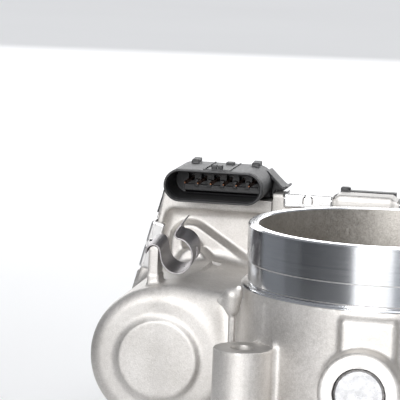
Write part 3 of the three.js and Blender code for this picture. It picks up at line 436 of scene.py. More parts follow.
def spigot_profile():
    """The turned band: [radius, height] from the bore wall over the rim and down to the bead."""
    return [
        (BORE_R, LIP_Z), (BORE_R, RIM_Z - 0.35), (BORE_R + 0.35, RIM_Z), (SPIGOT_R - 0.45, RIM_Z),
        (SPIGOT_R, RIM_Z - 0.45), (SPIGOT_R, SPIGOT_STEP_Z + 0.25), (NECK_R, SPIGOT_STEP_Z - 0.15),
        (NECK_R, LIP_Z + 1.3), (NECK_R - 0.35, LIP_Z + 0.9), (NECK_R - 0.3, LIP_Z + 0.55),
        (BARREL_R - 0.6, LIP_Z + 0.5), (BARREL_R - 0.1, LIP_Z + 0.25), (BARREL_R, LIP_Z),
    ]


def turned_mesh(profile, sides, x=0.0, y=0.0):
    """A closed profile turned about a vertical line."""
    vertices, faces = [], []
    count = len(profile)
    for s in range(sides):
        a = 2 * math.pi * s / sides
        vertices += [(x + r * math.cos(a), y + r * math.sin(a), h) for r, h in profile]
        for i in range(count):
            j, t = (i + 1) % count, (s + 1) % sides
            faces.append((s * count + i, t * count + i, t * count + j, s * count + j))
    return vertices, faces


def make_housing():
    step = 0.55
    xs = grid_axis((-88.5, step), 44.5)
    ys = grid_axis((-52.5, step), 57.0)
    zs = grid_axis((-1.0, 1.5 * step), (30, step), 80.5)
    cast = add_mesh("housing_casting", *contour(casting, xs, ys, zs))
    ring = add_mesh("housing_spigot", *turned_mesh(spigot_profile(), 256), sharp_angle=20)
    for piece in (cast, ring):
        belongs(piece, "housing", "cast_aluminium", "housing")
    # The bore wall takes a darker material, painted shade for the inside of the bore.
    milled, bore_shaded = MATERIALS["milled_aluminium"], MATERIALS["bore_painted_shade_aluminium"]
    paint(cast, [MATERIALS["cast_aluminium"](), milled(), bore_shaded()], machined_zone)
    paint(ring, [MATERIALS["turned_aluminium"](), milled(), bore_shaded()], spigot_zone)


def machined_zone(centre, normal):
    """0 as cast, 1 milled flat, 2 bore wall, painted darker as the shade inside the bore."""
    x, y, z = centre
    on_column = min(math.hypot(x - bx, y - by) for bx, by in BOLTS) < COLUMN_R - 0.2
    if normal.z < -0.95 and z < 0.3:
        return 1
    if normal.z > 0.95 and abs(z - COLUMN_TOP) < 0.3 and on_column:
        return 1
    if normal.y < -0.95 and abs(y - SHAFT_BOSS_END) < 0.2:
        return 1
    # the bore wall: painted shade, darker than the cast outside
    if math.hypot(x, y) < BORE_R + 0.25:
        return 2
    return 0


def spigot_zone(centre, normal):
    """0 turned outside, 1 rim, 2 bore wall, painted darker as the shade inside the bore."""
    # the bore wall takes the painted shade material
    if math.hypot(centre[0], centre[1]) < BORE_R + 0.1:
        return 2
    return 1 if normal.z > 0.5 else 0


# ---- Pieces: what they stand for, and their materials ----
def belongs(piece, body, slot, *nodes):
    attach(piece, body)
    if nodes:
        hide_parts(*nodes)
    return piece


def paint(piece, materials, zone=None):
    """Gives each face the material that zone(centre in millimetres, normal) picks."""
    for material in materials:
        piece.data.materials.append(material)
    if zone:
        for face in piece.data.polygons:
            face.material_index = zone((face.center - BORE) / MM, face.normal)
    return piece


# ---- Gear cover with the plug shroud ----
LUG_PLACES, LUG_HALF, LUG_FRONT = (-66.2, -47.1), 1.25, 48.5
LATCH_PLACES = ((-58.4, -56.8), (-56.3, -55.1))
PINS = [PINS_X + (i - 2.5) * PIN_PITCH for i in range(6)]
CONNECTOR_TOP = CONNECTOR_Z + CONNECTOR_H / 2
CONNECTOR_BASE = CONNECTOR_Z - CONNECTOR_H / 2
CONNECTOR_RIGHT = CONNECTOR_X + CONNECTOR_W / 2


def obround(p, inset, y0, y1, edge=0.0):
    half = CONNECTOR_W / 2 - CONNECTOR_H / 2
    across = np.hypot(np.maximum(np.abs(p[0] - CONNECTOR_X) - half, 0.0), p[2] - CONNECTOR_Z)
    return capped(across - CONNECTOR_H / 2 + inset, p[1], y0, y1, edge)


def bar_y(p, start, end, thickness, y0, y1, edge=0.15):
    """A flat strip seen along Y as a line from start to end."""
    ex, ez = end[0] - start[0], end[1] - start[1]
    t = np.clip(((p[0] - start[0]) * ex + (p[2] - start[1]) * ez) / (ex * ex + ez * ez), 0.0, 1.0)
    from_line = np.hypot(p[0] - start[0] - ex * t, p[2] - start[1] - ez * t)
    return capped(from_line - thickness / 2, p[1], y0, y1, edge)


def plug_shroud(p):
    top = CONNECTOR_TOP
    body = obround(p, 0.0, CONNECTOR_MOUTH, CONNECTOR_BACK, edge=0.22)
    groove = obround(p, 0.16, CONNECTOR_MOUTH + 1.0, CONNECTOR_MOUTH + 1.5)
    body = np.maximum(body, -np.maximum(-groove - 0.25, np.abs(p[1] - CONNECTOR_MOUTH - 1.25) - 0.25))
    panel = box(p, (-60.8, -52.4), (33.2, CONNECTOR_BACK - 0.6), (top - 1, top + 0.3), edge=0.12)
    frame_line = box(p, (-60.4, -52.8), (33.8, CONNECTOR_BACK + 2), (top - 0.05, top + 2), edge=0.05)
    body = cut(union(body, panel), frame_line)
    for x0, x1 in LATCH_PLACES:
        body = union(body, box(p, (x0, x1), (33.8, 36.2), (top - 1, top + 1.5), edge=0.25))
    body = union(body, box(p, (-56.7, -54.2), (50.0, 52.6), (top - 1, top + 0.7), edge=0.3))
    for x in LUG_PLACES:
        rise = (p[1] - LUG_FRONT) * 0.06
        lug = box((p[0], p[1], p[2] - rise), (x - LUG_HALF, x + LUG_HALF), (LUG_FRONT, CONNECTOR_BACK - 0.5),
                  (top - 3, top + 1.1), 0.4)
        body = blend_union(body, lug, 0.3)
    return body


def plug_socket(p):
    """The hollow in the shroud, without the ledge and ribs round the contacts."""
    back = CONNECTOR_MOUTH + CONNECTOR_DEPTH
    flare = np.maximum(CONNECTOR_MOUTH + 0.6 - p[1], 0.0) * 0.5
    hollow = obround(p, CONNECTOR_WALL, CONNECTOR_MOUTH - 3, back, edge=0.3) - flare
    left, right, middle = PINS[0] - 2.0, PINS[-1], CONNECTOR_Z
    ledge = box(p, (left, right + 3.4), (back - 2.0, back + 1), (middle - 3.0, middle - 1.1), 0.15)
    wall = box(p, (left, right + 9), (back - 0.6, back + 1), (middle - 1.4, CONNECTOR_TOP), 0.15)
    ribs = [box(p, (x - 0.6, x + 0.6), (back - 2.6, back), (middle - 1.6, middle + 0.6), 0.15)
            for x in [pin + PIN_PITCH / 2 for pin in PINS]]
    hollow = cut(hollow, ledge, wall, *ribs)
    low = box(p, (left, right + 1), (back - 1, CONNECTOR_BACK - 2), (CONNECTOR_BASE + 1.2, middle - 3.1), 0.2)
    nests = [box(p, (x - 0.95, x + 0.95), (back - 3.5, back + 3.5), (PIN_Z - 0.5, PIN_Z + 1.7), 0.1)
             for x in PINS]
    holes = [box(p, (x - 0.5, x + 0.5), (back - 1, PIN_ROOT + GAP), (PIN_Z - 0.5, PIN_Z + 0.5))
             for x in PINS]
    return union(hollow, low, *nests, *holes)


def moulding(p):
    front = PARTING + GAP
    back = front + 3
    rim = prism_y(p, COVER_RIM, front, back, edge=0.3)
    dish = prism_y(p, COVER_DISH, front, COVER_BACK - 0.9, edge=2.6)
    raised = union(rod_y(p, 0, SHAFT_Z, 24, front + 4, COVER_BACK, 1.5),
                   rod_y(p, -33, 36.5, 28, front + 4, COVER_BACK, 1.5))
    raised = np.maximum(raised, prism_y(p, COVER_DISH, front, COVER_BACK + 1, grow=-2.2))
    body = blend_union(blend_union(rim, dish, 0.8), raised, 1.2)
    through = (front - PAST, back + 6)
    clip_seats = [edge_box(p, place, CLIP_W / 2 + 0.4, (-0.6, PAST), through) for place in CLIP_PLACES]
    pad_seat = box(p, (PAD_LEFT - 0.6, PAD_RIGHT + 0.6), through, (TRAY_TOP + 0.2, TRAY_TOP + PAST))
    body = cut(body, *clip_seats, pad_seat)
    lip = box(p, (PAD_LEFT - 0.2, PAD_RIGHT + 0.2), (front, back), (TRAY_TOP - 2, PAD_TOP + 0.35), 0.15)
    hump = box(p, (PAD_LEFT - 0.2, PAD_LEFT + 2.7), (front, back), (TRAY_TOP - 2, PAD_TOP + 1.3), 0.5)
    ear = prism_y(p, [(-79.7, 68.4), (-76.0, 68.4), (-74.4, 77.4), (-77.4, 77.0)], front, back, edge=0.4)

    right = CONNECTOR_RIGHT
    neck = box(p, (-72.5, right - 0.5), (CONNECTOR_BACK - 4, front + 8),
               (CONNECTOR_BASE + 0.4, TRAY_TOP + 1), 0.4)
    web = prism_y(p, GUSSET, CONNECTOR_BACK - 1, front + 4, edge=0.2)
    y0, y1 = CONNECTOR_BACK - 4.5, front + 2
    strip = bar_y(p, (right - 1.5, CONNECTOR_TOP - 1.75), (right + 3.7, TRAY_TOP + 1.35), 0.8, y0, y1)
    curl = bar_y(p, (right + 3.6, TRAY_TOP + 1.4), (right + 4.7, TRAY_TOP + 1.95), 0.8, y0, y1)
    body = union(body, lip, hump, ear, blend_union(neck, web, 0.6), blend_union(strip, curl, 0.5))
    body = blend_union(body, plug_shroud(p), 0.5)
    body = cut(body, plug_socket(p))
    return cut(body, prism_y(p, COVER_INSIDE, front - 2, COVER_BACK - 3.4, edge=1.0))


COVER_RIM = rounded_outline(TRAY, 0.5)
COVER_DISH = rounded_outline(TRAY, 2.2)
COVER_INSIDE = rounded_outline(TRAY, 4.7)
GUSSET = [
    (CONNECTOR_RIGHT - 5, CONNECTOR_BASE + 0.4), (CONNECTOR_RIGHT + 0.6, CONNECTOR_BASE + 0.4),
    (CONNECTOR_RIGHT + 0.6, TRAY_TOP + GAP), (CONNECTOR_RIGHT + 3.2, TRAY_TOP + GAP),
    (CONNECTOR_RIGHT + 3.2, TRAY_TOP + 1.6), (CONNECTOR_RIGHT - 1.2, CONNECTOR_TOP - 2.6),
    (CONNECTOR_RIGHT - 5, CONNECTOR_TOP - 2.6),
]


def make_cover():
    rough, fine = ((0.8, 0.3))
    xs = grid_axis((-87.5, rough), (-76, fine), (-37, rough), 32)
    ys = grid_axis((30.5, fine), (60.5, rough), 76)
    zs = grid_axis((2.5, rough), (73, fine), 89.5)
    cover = add_mesh("gear_cover_moulding", *contour(moulding, xs, ys, zs), sharp_angle=35)
    belongs(cover, "housing", "black_plastic", "gear_cover")
    paint(cover, [MATERIALS["black_plastic"]()])


# ---- Contacts and clips ----
def make_contacts():
    half = 0.4
    for i, x in enumerate(PINS):
        sections = [(PIN_TIP, 0.16), (PIN_TIP + 0.25, 0.24), (PIN_TIP + 1.1, half), (PIN_ROOT, half)]
        vertices, faces = [], [(3, 2, 1, 0)]
        for s, (y, h) in enumerate(sections):
            vertices += [(x + a * h, y, PIN_Z + b * h) for a, b in ((-1, -1), (1, -1), (1, 1), (-1, 1))]
            if s:
                near, far = 4 * s - 4, 4 * s
                faces += [(near + k, near + (k + 1) % 4, far + (k + 1) % 4, far + k) for k in range(4)]
        last = 4 * len(sections) - 4
        faces.append(tuple(last + k for k in range(4)))
        pin = add_mesh(f"contact_{i + 1}", vertices, faces, sharp_angle=10)
        belongs(pin, "housing", "copper", f"terminal_pin_{i + 1}")
        paint(pin, [MATERIALS["copper"]()])


def clip_field(p):
    """A cover clip: p is (out from the edge, Y, along the edge)."""
    out, y, along = p
    thick = CLIP_THICKNESS
    y0, y1 = LIP_FRONT - GAP - thick, PARTING + GAP + 3 + GAP + thick
    shell = box(p, (-CLIP_LEG, thick - 0.3), (y0, y1), (-CLIP_W / 2, CLIP_W / 2), edge=0.75)
    inside = box(p, (-9, -0.3), (y0 + thick, y1 - thick), (-CLIP_W, CLIP_W), edge=0.3)
    body = np.maximum(shell, -inside)
    body = np.maximum(body, -box(p, (-9, -1.4), (y1 - 2 * thick, y1 + 1), (-CLIP_W, CLIP_W)))
    ring = np.abs(np.hypot(along, np.maximum(out + 1.2, 0.0)) - 1.45) - 0.26
    window = np.maximum(np.maximum(ring, -2.5 - out), y - (y0 + 1.5))
    body = np.maximum(body, -window)
    crease = np.abs(out + 0.9) - 0.14
    notch = np.maximum(np.maximum(crease, y - y0 - 0.35), -box(p, (-9, 9), (0, 99), (-2.0, 2.0)))
    return np.maximum(body, -notch)


def make_cover_clips():
    step = 0.2
    outs, ys = grid_axis((-4.6, step), 1.2), grid_axis((45.2, step), 61.2)
    vertices, faces = contour(clip_field, outs, ys, grid_axis((-7.8, step), 7.8))
    for i, (x, z, turn) in enumerate(CLIP_PLACES):
        c, s = math.cos(turn), math.sin(turn)
        placed = np.stack([x + vertices[:, 0] * c - vertices[:, 2] * s, vertices[:, 1],
                           z + vertices[:, 0] * s + vertices[:, 2] * c], axis=1)
        clip = add_mesh(f"cover_clip_piece_{i + 1}", placed, faces[:, ::-1], sharp_angle=40)
        belongs(clip, "housing", "bright_steel", f"cover_clip_{i + 1}")
        paint(clip, [MATERIALS["bright_steel"]()])


def harness_path():
    """The harness clip's centre line in X and Z: hood, leg, open loop and flared tip."""
    hood_r, hood_z = TAB_W / 2 + GAP + 0.25, TAB_ROUND_Z
    path = [(TAB_X - hood_r, hood_z - 0.4)]
    path += [(TAB_X - hood_r * math.cos(math.pi * k / 10), hood_z + hood_r * math.sin(math.pi * k / 10))
             for k in range(11)]
    for k in range(31):
        a = math.radians(195 + 255 * k / 30)
        path.append((LOOP_X + LOOP_HALF_WIDTH * math.cos(a), LOOP_Z + LOOP_HALF_HEIGHT * math.sin(a)))
    x, z = LOOP_X - 0.7, LOOP_Z + LOOP_HALF_HEIGHT + 1.0
    tip = [(x + 0.1, z - 0.45), (x - 0.05, z), (x + 0.2, z + 0.8), (x + 0.8, z + 1.9), (x + 1.7, z + 3.0)]
    return path + tip


HARNESS_PATH = harness_path()


def harness_field(p):
    x, y, z = p
    z = z - STRIP_RISE * (y - STRIP_FRONT)
    nearest = None
    for (ax, az), (bx, bz) in zip(HARNESS_PATH, HARNESS_PATH[1:]):
        ex, ez = bx - ax, bz - az
        t = np.clip(((x - ax) * ex + (z - az) * ez) / (ex * ex + ez * ez), 0.0, 1.0)
        d = (x - ax - ex * t) ** 2 + (z - az - ez * t) ** 2
        nearest = d if nearest is None else np.minimum(nearest, d)
    strip = capped(np.sqrt(nearest) - STRIP_THICKNESS / 2, y, STRIP_FRONT, STRIP_FRONT + STRIP_WIDTH, 0.1)
    leaning = (x, y, z)
    side_slot = box(leaning, (LOOP_X + 2, LOOP_X + 6), (4.4, 6.6), (LOOP_Z - 3.4, LOOP_Z + 1.6), 0.4)
    low_slot = box(leaning, (LOOP_X + 1, LOOP_X + 4.4), (5.2, 6.2), (LOOP_Z - 7, LOOP_Z - 3.2), 0.3)
    return cut(strip, side_slot, low_slot)


def make_harness_clip():
    step = 0.16
    grid = grid_axis((-71.4, step), -56.2), grid_axis((-1.6, 2 * step), 11.6), grid_axis((58.2, step), 78.4)
    clip = add_mesh("harness_clip_strip", *contour(harness_field, *grid), sharp_angle=45)
    belongs(clip, "housing", "spring_steel", "harness_clip")
    paint(clip, [MATERIALS["spring_steel"]()])


# ---- Throttle pieces that show through the bore ----
def tilt(vertices):
    """Turns points about the shaft's line by the plate's resting angle."""
    c, s = math.cos(REST_TILT), math.sin(REST_TILT)
    v = np.array(vertices, float)
    x, z = v[:, 0].copy(), v[:, 2] - SHAFT_Z
    v[:, 0] = x * c + z * s
    v[:, 2] = SHAFT_Z - x * s + z * c
    return v


def shaft_field(p):
    shaft = rod_y(p, 0, SHAFT_Z, 5.0, -48, 63.8, edge=0.4)
    flat = box(p, (-7, 7), (-22, 22), (SHAFT_Z + 3.6, SHAFT_Z + 9), edge=0.2)
    slot = box(p, (-7, 7), (-36.85, 36.85), (SHAFT_Z - 1.3, SHAFT_Z + 1.3))
    return cut(shaft, flat, slot)


def screw_field(p):
    seat = SHAFT_Z + 3.6 + GAP
    y = PLATE_SCREW_Y
    shank = rod_z(p, 0, y, 1.6, SHAFT_Z - 4.6, seat + 0.5, edge=0.3)
    head = rod_z(p, 0, y, 3.0, seat, seat + 1.8, edge=0.7)
    middle = (p[0], p[1] - y, p[2])
    cross = union(box(middle, (-1.9, 1.9), (-0.35, 0.35), (seat + 0.8, seat + 4)),
                  box(middle, (-0.35, 0.35), (-1.9, 1.9), (seat + 0.8, seat + 4)))
    return cut(union(shank, head), cross)


def make_plate():
    bevel = 0.3
    low, high = SHAFT_Z - PLATE_HALF, SHAFT_Z + PLATE_HALF
    disc = [(0.0, low), (PLATE_R - bevel, low), (PLATE_R, low + 0.5), (PLATE_R, high - 0.5),
            (PLATE_R - bevel, high), (0.0, high)]
    vertices, faces = turned_mesh(disc, 192)
    plate = add_mesh("throttle_disc", tilt(vertices), faces, sharp_angle=25)
    belongs(plate, "throttle", "brass", "throttle_plate")
    paint(plate, [MATERIALS["plate_brass"]()])


def make_spindle():
    step = 0.3
    grid = (grid_axis((-5.8, step), 5.8), grid_axis((-49, 2 * step), 64.6),
            grid_axis((SHAFT_Z - 5.8, step), SHAFT_Z + 5.8))
    vertices, faces = contour(shaft_field, *grid)
    shaft = add_mesh("throttle_spindle", tilt(vertices), faces, sharp_angle=30)
    belongs(shaft, "throttle", "steel", "throttle_shaft")
    paint(shaft, [MATERIALS["steel"]()])


def make_plate_screws():
    step = 0.15
    grid = (grid_axis((-3.5, step), 3.5), grid_axis((PLATE_SCREW_Y - 3.5, step), PLATE_SCREW_Y + 3.5),
            grid_axis((33, step), 44.5))
    vertices, faces = contour(screw_field, *grid)
    for i, shift in enumerate((-2 * PLATE_SCREW_Y, 0.0)):
        moved = tilt(vertices + np.array([0, shift, 0]))
        screw = add_mesh(f"plate_screw_piece_{i + 1}", moved, faces, sharp_angle=30)
        belongs(screw, "throttle", "steel", f"plate_screw_{i + 1}")
        paint(screw, [MATERIALS["steel"]()])


# ---- Materials ----
class Shader:
    """A procedural material built node by node."""

    def __init__(self, name):
        self.material = bpy.data.materials.new(name)
        self.material.use_nodes = True
        self.tree = self.material.node_tree
        self.surface = self.tree.nodes["Principled BSDF"]
        self.place = self.add("ShaderNodeTexCoord").outputs["Object"]

    def add(self, kind, inputs=None, **settings):
        node = self.tree.nodes.new(kind)
        for key, value in settings.items():
            setattr(node, key, value)
        for key, value in (inputs or {}).items():
            self.put(node.inputs[key], value)
        return node

    def put(self, socket, value):
        if isinstance(value, bpy.types.NodeSocket):
            self.tree.links.new(value, socket)
        else:
            socket.default_value = value

    def stretched(self, scale):
        return self.add("ShaderNodeVectorMath", {0: self.place, 1: scale}, operation="MULTIPLY").outputs[0]

    def noise(self, scale, detail=2.0, vector=None, roughness=0.5):
        return self.add("ShaderNodeTexNoise", {
            "Vector": vector or self.place, "Scale": scale, "Detail": detail, "Roughness": roughness,
        }).outputs["Fac"]

    def spread(self, value, low, high, out_low, out_high):
        return self.add("ShaderNodeMapRange", {
            "Value": value, "From Min": low, "From Max": high, "To Min": out_low, "To Max": out_high,
        }).outputs["Result"]

    def math(self, operation, a, b=0.0):
        return self.add("ShaderNodeMath", {0: a, 1: b}, operation=operation).outputs[0]

    def blend(self, factor, a, b):
        node = self.add("ShaderNodeMix", data_type="RGBA")
        self.put(node.inputs["Factor"], factor)
        self.put(node.inputs[6], (*a, 1.0) if isinstance(a, tuple) else a)
        self.put(node.inputs[7], (*b, 1.0) if isinstance(b, tuple) else b)
        return node.outputs[2]

    def bump(self, height, distance):
        return self.add("ShaderNodeBump", {
            "Height": height, "Strength": 1.0, "Distance": distance,
        }).outputs["Normal"]

    def finish(self, **inputs):
        for key, value in inputs.items():
            self.put(self.surface.inputs[key.replace("_", " ")], value)
        return self.material


def blasted(name, dark, light, grain, depth, roughness, metallic=1.0, speck=0.35):
    """Shot-blasted or moulded surface: two tones in soft blotches, and a fine grain in relief."""
    def make():
        m = Shader(name)
        fine = m.noise(1.0 / grain, 2.0)
        coarse = m.noise(1.0 / (3.1 * grain), 2.0)
        blotch = m.noise(90.0, 3.0)
        grit = m.math("ADD", m.math("MULTIPLY", fine, 1 - speck), m.math("MULTIPLY", coarse, speck))
        tone = m.math("ADD", m.math("MULTIPLY", grit, 0.7), m.math("MULTIPLY", blotch, 0.3))
        colour = m.blend(m.spread(tone, 0.35, 0.65, 0.0, 1.0), dark, light)
        rough = m.spread(grit, 0.35, 0.65, roughness - 0.06, roughness + 0.08)
        return m.finish(Base_Color=colour, Metallic=metallic, Roughness=rough,
                        Normal=m.bump(grit, depth))
    return make


def lined(name, dark, light, stretch, spacing, depth, roughness, metallic=1.0):
    """Cut or rolled metal: fine parallel lines, as one noise stretched along them."""
    def make():
        m = Shader(name)
        along = m.stretched(stretch)
        lines = m.noise(1.0 / spacing, 3.0, along, 0.6)
        wide = m.noise(0.12 / spacing, 2.0, along)
        colour = m.blend(m.spread(wide, 0.35, 0.65, 0.0, 1.0), dark, light)
        rough = m.spread(lines, 0.3, 0.7, roughness - 0.04, roughness + 0.05)
        return m.finish(Base_Color=colour, Metallic=metallic, Roughness=rough,
                        Normal=m.bump(lines, depth))
    return make


def turned(name, dark, light, spacing, depth, roughness):
    """Lathe lines about the bore axis: rings on a flat end, hoops on a cylinder."""
    def make():
        m = Shader(name)
        from_axis = m.add("ShaderNodeVectorMath", {0: m.place, 1: tuple(BORE)}, operation="SUBTRACT")
        parts = m.add("ShaderNodeSeparateXYZ", {0: from_axis.outputs[0]})
        flat = m.add("ShaderNodeCombineXYZ", {0: parts.outputs[0], 1: parts.outputs[1]}).outputs[0]
        radius = m.add("ShaderNodeVectorMath", {0: flat}, operation="LENGTH").outputs["Value"]
        ring = m.add("ShaderNodeCombineXYZ", {0: radius, 1: parts.outputs[2]}).outputs[0]
        lines = m.noise(1.0 / spacing, 2.0, ring, 0.6)
        wide = m.noise(0.2 / spacing, 2.0, ring)
        stain = m.noise(60.0, 3.0)
        tone = m.math("ADD", m.math("MULTIPLY", wide, 0.5), m.math("MULTIPLY", stain, 0.5))
        colour = m.blend(m.spread(tone, 0.35, 0.65, 0.0, 1.0), dark, light)
        rough = m.spread(lines, 0.3, 0.7, roughness - 0.03, roughness + 0.04)
        return m.finish(Base_Color=colour, Metallic=1.0, Roughness=rough,
                        Normal=m.bump(lines, depth))
    return make


MATERIALS = {
    "cast_aluminium": blasted("cast_aluminium", (0.50, 0.48, 0.455), (0.72, 0.70, 0.68),
                              0.00034, 0.00006, 0.58),
    # painted shade: the cast grain in a darker tone, standing in for the shade inside the bore
    "bore_painted_shade_aluminium": blasted("bore_painted_shade_aluminium", (0.34, 0.32, 0.295), (0.56, 0.54, 0.51),
                               0.00042, 0.00006, 0.5),
    "milled_aluminium": turned("milled_aluminium", (0.52, 0.505, 0.49), (0.64, 0.625, 0.61),
                               0.00022, 0.000006, 0.42),
    "turned_aluminium": turned("turned_aluminium", (0.70, 0.71, 0.73), (0.82, 0.83, 0.85),
                               0.00012, 0.0000025, 0.17),
    "black_plastic": blasted("black_plastic", (0.010, 0.010, 0.011), (0.024, 0.024, 0.026),
                             0.00045, 0.00003, 0.5, metallic=0.0),
    "rubber": blasted("rubber", (0.014, 0.014, 0.015), (0.026, 0.026, 0.027),
                      0.0006, 0.00003, 0.7, metallic=0.0),
    "bright_steel": lined("bright_steel", (0.66, 0.655, 0.65), (0.76, 0.755, 0.75), (1, 0.12, 1),
                          0.0004, 0.000001, 0.36),
    "spring_steel": lined("spring_steel", (0.30, 0.288, 0.292), (0.42, 0.40, 0.405), (1, 0.2, 1),
                          0.0003, 0.000003, 0.46),
    "steel": lined("steel", (0.5, 0.5, 0.51), (0.68, 0.68, 0.69), (1, 0.1, 1), 0.00025, 0.000006, 0.28),
    "copper": lined("copper", (0.26, 0.11, 0.06), (0.44, 0.21, 0.12), (1, 0.15, 1), 0.00015, 0.000005, 0.28),
    "brass": lined("brass", (0.5, 0.36, 0.15), (0.66, 0.48, 0.22), (1, 0.15, 1), 0.0002, 0.000006, 0.3),
    "plate_brass": lined("plate_brass", (0.5, 0.38, 0.18), (0.62, 0.48, 0.26), (0.06, 1, 1),
                         0.0003, 0.000008, 0.3),
    "gear_plastic": blasted("gear_plastic", (0.60, 0.55, 0.43), (0.72, 0.67, 0.55), 0.0006, 0.00001, 0.42,
                            metallic=0.0),
    "magnet": blasted("magnet", (0.07, 0.07, 0.075), (0.14, 0.14, 0.15), 0.0004, 0.00002, 0.45, metallic=0.7),
    "carbon": blasted("carbon", (0.03, 0.03, 0.03), (0.07, 0.07, 0.07), 0.0004, 0.00003, 0.6, metallic=0.2),
    "board": blasted("board", (0.015, 0.085, 0.045), (0.03, 0.14, 0.075), 0.001, 0.00001, 0.3, metallic=0.0),
}


def cache_materials():
    """Makes each material once, however many pieces use it."""
    made = {}

    def once(name, make):
        return lambda: made.setdefault(name, None) or made.update({name: make()}) or made[name]
    for name, make in list(MATERIALS.items()):
        MATERIALS[name] = once(name, make)


def paint_cad_nodes():
    """The sealed inner pieces keep their CAD shapes and take the same finishes."""
    for part in frame["record"]["subparts"]:
        node = frame["nodes"][part["node"]]
        node.data.materials.clear()
        node.data.materials.append(MATERIALS[part["material_slot"]]())


# ---- Stage ----
def plane_mesh(name, corners):
    mesh = bpy.data.meshes.new(name)
    mesh.from_pydata(corners, [], [tuple(range(len(corners)))])
    piece = bpy.data.objects.new(name, mesh)
    bpy.context.scene.collection.objects.link(piece)
    return piece


def make_floor():
    reach = 9.0
    corners = [(-reach, -reach, 0), (reach, -reach, 0), (reach, reach, 0), (-reach, reach, 0)]
    floor = plane_mesh("floor", corners)
    m = Shader("floor_paper")
    tone = m.spread(m.noise(2.0, 3.0), 0.3, 0.7, 0.0, 1.0)
    m.finish(Base_Color=m.blend(tone, (0.93, 0.93, 0.93), (0.96, 0.96, 0.96)), Roughness=0.9)
    floor.data.materials.append(m.material)


def sun(name, strength, azimuth, elevation, spread, colour=(1, 1, 1)):
    """A soft, even light; azimuth 0 comes from the front (-Y), positive from +X."""
    data = bpy.data.lights.new(name, "SUN")
    data.energy, data.angle, data.color = strength, math.radians(spread), colour
    lamp = bpy.data.objects.new(name, data)
    a, e = math.radians(azimuth), math.radians(elevation)
    towards = Vector((math.sin(a) * math.cos(e), -math.cos(a) * math.cos(e), math.sin(e)))
    lamp.rotation_euler = towards.to_track_quat("Z", "Y").to_euler()
    bpy.context.scene.collection.objects.link(lamp)


def softbox(name, place, target, width, height, power, colour=(1, 1, 1)):
    data = bpy.data.lights.new(name, "AREA")
    data.shape, data.size, data.size_y = "RECTANGLE", width, height
    data.energy, data.color = power, colour
    lamp = bpy.data.objects.new(name, data)
    lamp.location = place
    lamp.rotation_euler = (Vector(place) - Vector(target)).to_track_quat("Z", "Y").to_euler()
    lamp.visible_camera = False
    bpy.context.scene.collection.objects.link(lamp)


def around(azimuth, distance, height=0.0):
    """A point around the bore; azimuth 0 is in front (-Y), positive towards +X."""
    a = math.radians(azimuth)
    return Vector((BORE.x + distance * math.sin(a), BORE.y - distance * math.cos(a), height))


def make_card(name, azimuths, distance, height, tone):
    """An upright curved card on the floor, for the turned band to mirror."""
    first, last = azimuths
    steps = max(2, round(abs(last - first) / 6))
    corners, faces = [], []
    for k in range(steps + 1):
        a = first + (last - first) * k / steps
        corners += [around(a, distance), around(a, distance, height)]
        if k:
            faces.append((2 * k - 2, 2 * k, 2 * k + 1, 2 * k - 1))
    mesh = bpy.data.meshes.new(name)
    mesh.from_pydata(corners, [], faces)
    card = bpy.data.objects.new(name, mesh)
    bpy.context.scene.collection.objects.link(card)
    m = Shader(name)
    shade = m.spread(m.noise(6.0, 2.0), 0.3, 0.7, 0.9, 1.1)
    low = tuple(c * 0.9 for c in tone)
    m.finish(Base_Color=m.blend(shade, low, tone), Roughness=0.8)
    card.data.materials.append(m.material)


CAMERA_AZIMUTH, CAMERA_ELEVATION, CAMERA_ROLL = 10.7, 7.9, 2.1
CAMERA_DISTANCE = 0.7                       # from the rim's centre
CAMERA_LEFT, CAMERA_RAISE = 0.0542, 0.0057  # so that the rim stands at the right of the picture
CARD_DISTANCE, CARD_HEIGHT = 0.30, 0.12


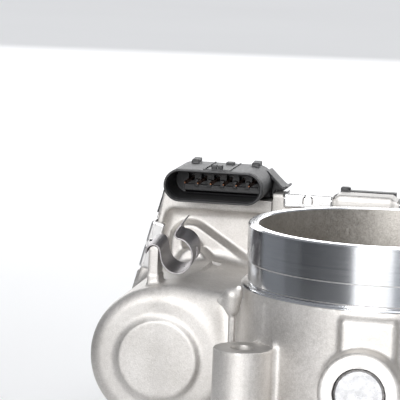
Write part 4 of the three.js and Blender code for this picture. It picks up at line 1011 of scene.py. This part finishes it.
def make_lights():
    world = bpy.data.worlds.new("studio")
    bpy.context.scene.world = world
    world.use_nodes = True
    world.node_tree.nodes["Background"].inputs["Color"].default_value = (0.30, 0.31, 0.33, 1)
    world.node_tree.nodes["Background"].inputs["Strength"].default_value = 1.0
    sun("overhead", 1.0, 20, 66, 50)
    sun("key", 1.9, CAMERA_AZIMUTH - 22, 18, 30)
    front = around(CAMERA_AZIMUTH - 18, 0.95, 0.30)
    softbox("front_softbox", front, BORE + Vector((0, 0, 0.04)), 0.5, 0.5, 5.0)
    back = around(CAMERA_AZIMUTH + 180, 1.5, 0.5)
    softbox("back_panel", back, BORE + Vector((0, 0, 0.07)), 2.2, 0.6, 14.0)


def make_cards():
    """Cards on both sides of the view, in the tones that the turned band mirrors."""
    for name, first, last, tone in (
        ("card_behind", -134, -121, 0.04), ("card_grey", -121, -90, 0.34), ("card_mid", -90, -74, 0.20),
        ("card_dark", -74, -56, 0.10), ("card_edge", -56, -28, 0.12),
    ):
        azimuths = (CAMERA_AZIMUTH + first, CAMERA_AZIMUTH + last)
        make_card(name, azimuths, CARD_DISTANCE, CARD_HEIGHT, (tone * 0.96, tone, tone * 1.06))
    azimuths = (CAMERA_AZIMUTH + 2, CAMERA_AZIMUTH + 24)
    make_card("card_right", azimuths, CARD_DISTANCE, 0.05, (0.45, 0.47, 0.5))


def make_camera():
    a, e, roll = (math.radians(angle) for angle in (CAMERA_AZIMUTH, CAMERA_ELEVATION, CAMERA_ROLL))
    back = Vector((math.sin(a) * math.cos(e), -math.cos(a) * math.cos(e), math.sin(e)))
    right = (-back).cross(Vector((0, 0, 1))).normalized()
    up = right.cross(-back)
    rim_centre = BORE + Vector((0, 0, RIM_Z * MM))
    data = bpy.data.cameras.new("camera")
    data.lens, data.sensor_width = 218.25, 36.0
    data.clip_start, data.clip_end = 0.05, 50
    camera = bpy.data.objects.new("camera", data)
    rolled_right = right * math.cos(roll) + up * math.sin(roll)
    rolled_up = up * math.cos(roll) - right * math.sin(roll)
    place = rim_centre + back * CAMERA_DISTANCE - right * CAMERA_LEFT + up * CAMERA_RAISE
    turn = Matrix((rolled_right, rolled_up, back)).transposed().to_4x4()
    camera.matrix_world = Matrix.Translation(place) @ turn
    bpy.context.scene.collection.objects.link(camera)
    bpy.context.scene.camera = camera


# ---- Build ----
cache_materials()
make_camera()
make_floor()
make_lights()
make_cards()
paint_cad_nodes()
make_housing()
make_cover()
make_contacts()
make_cover_clips()
make_harness_clip()
make_plate()
make_spindle()
make_plate_screws()
bpy.context.scene.view_settings.view_transform = "Standard"
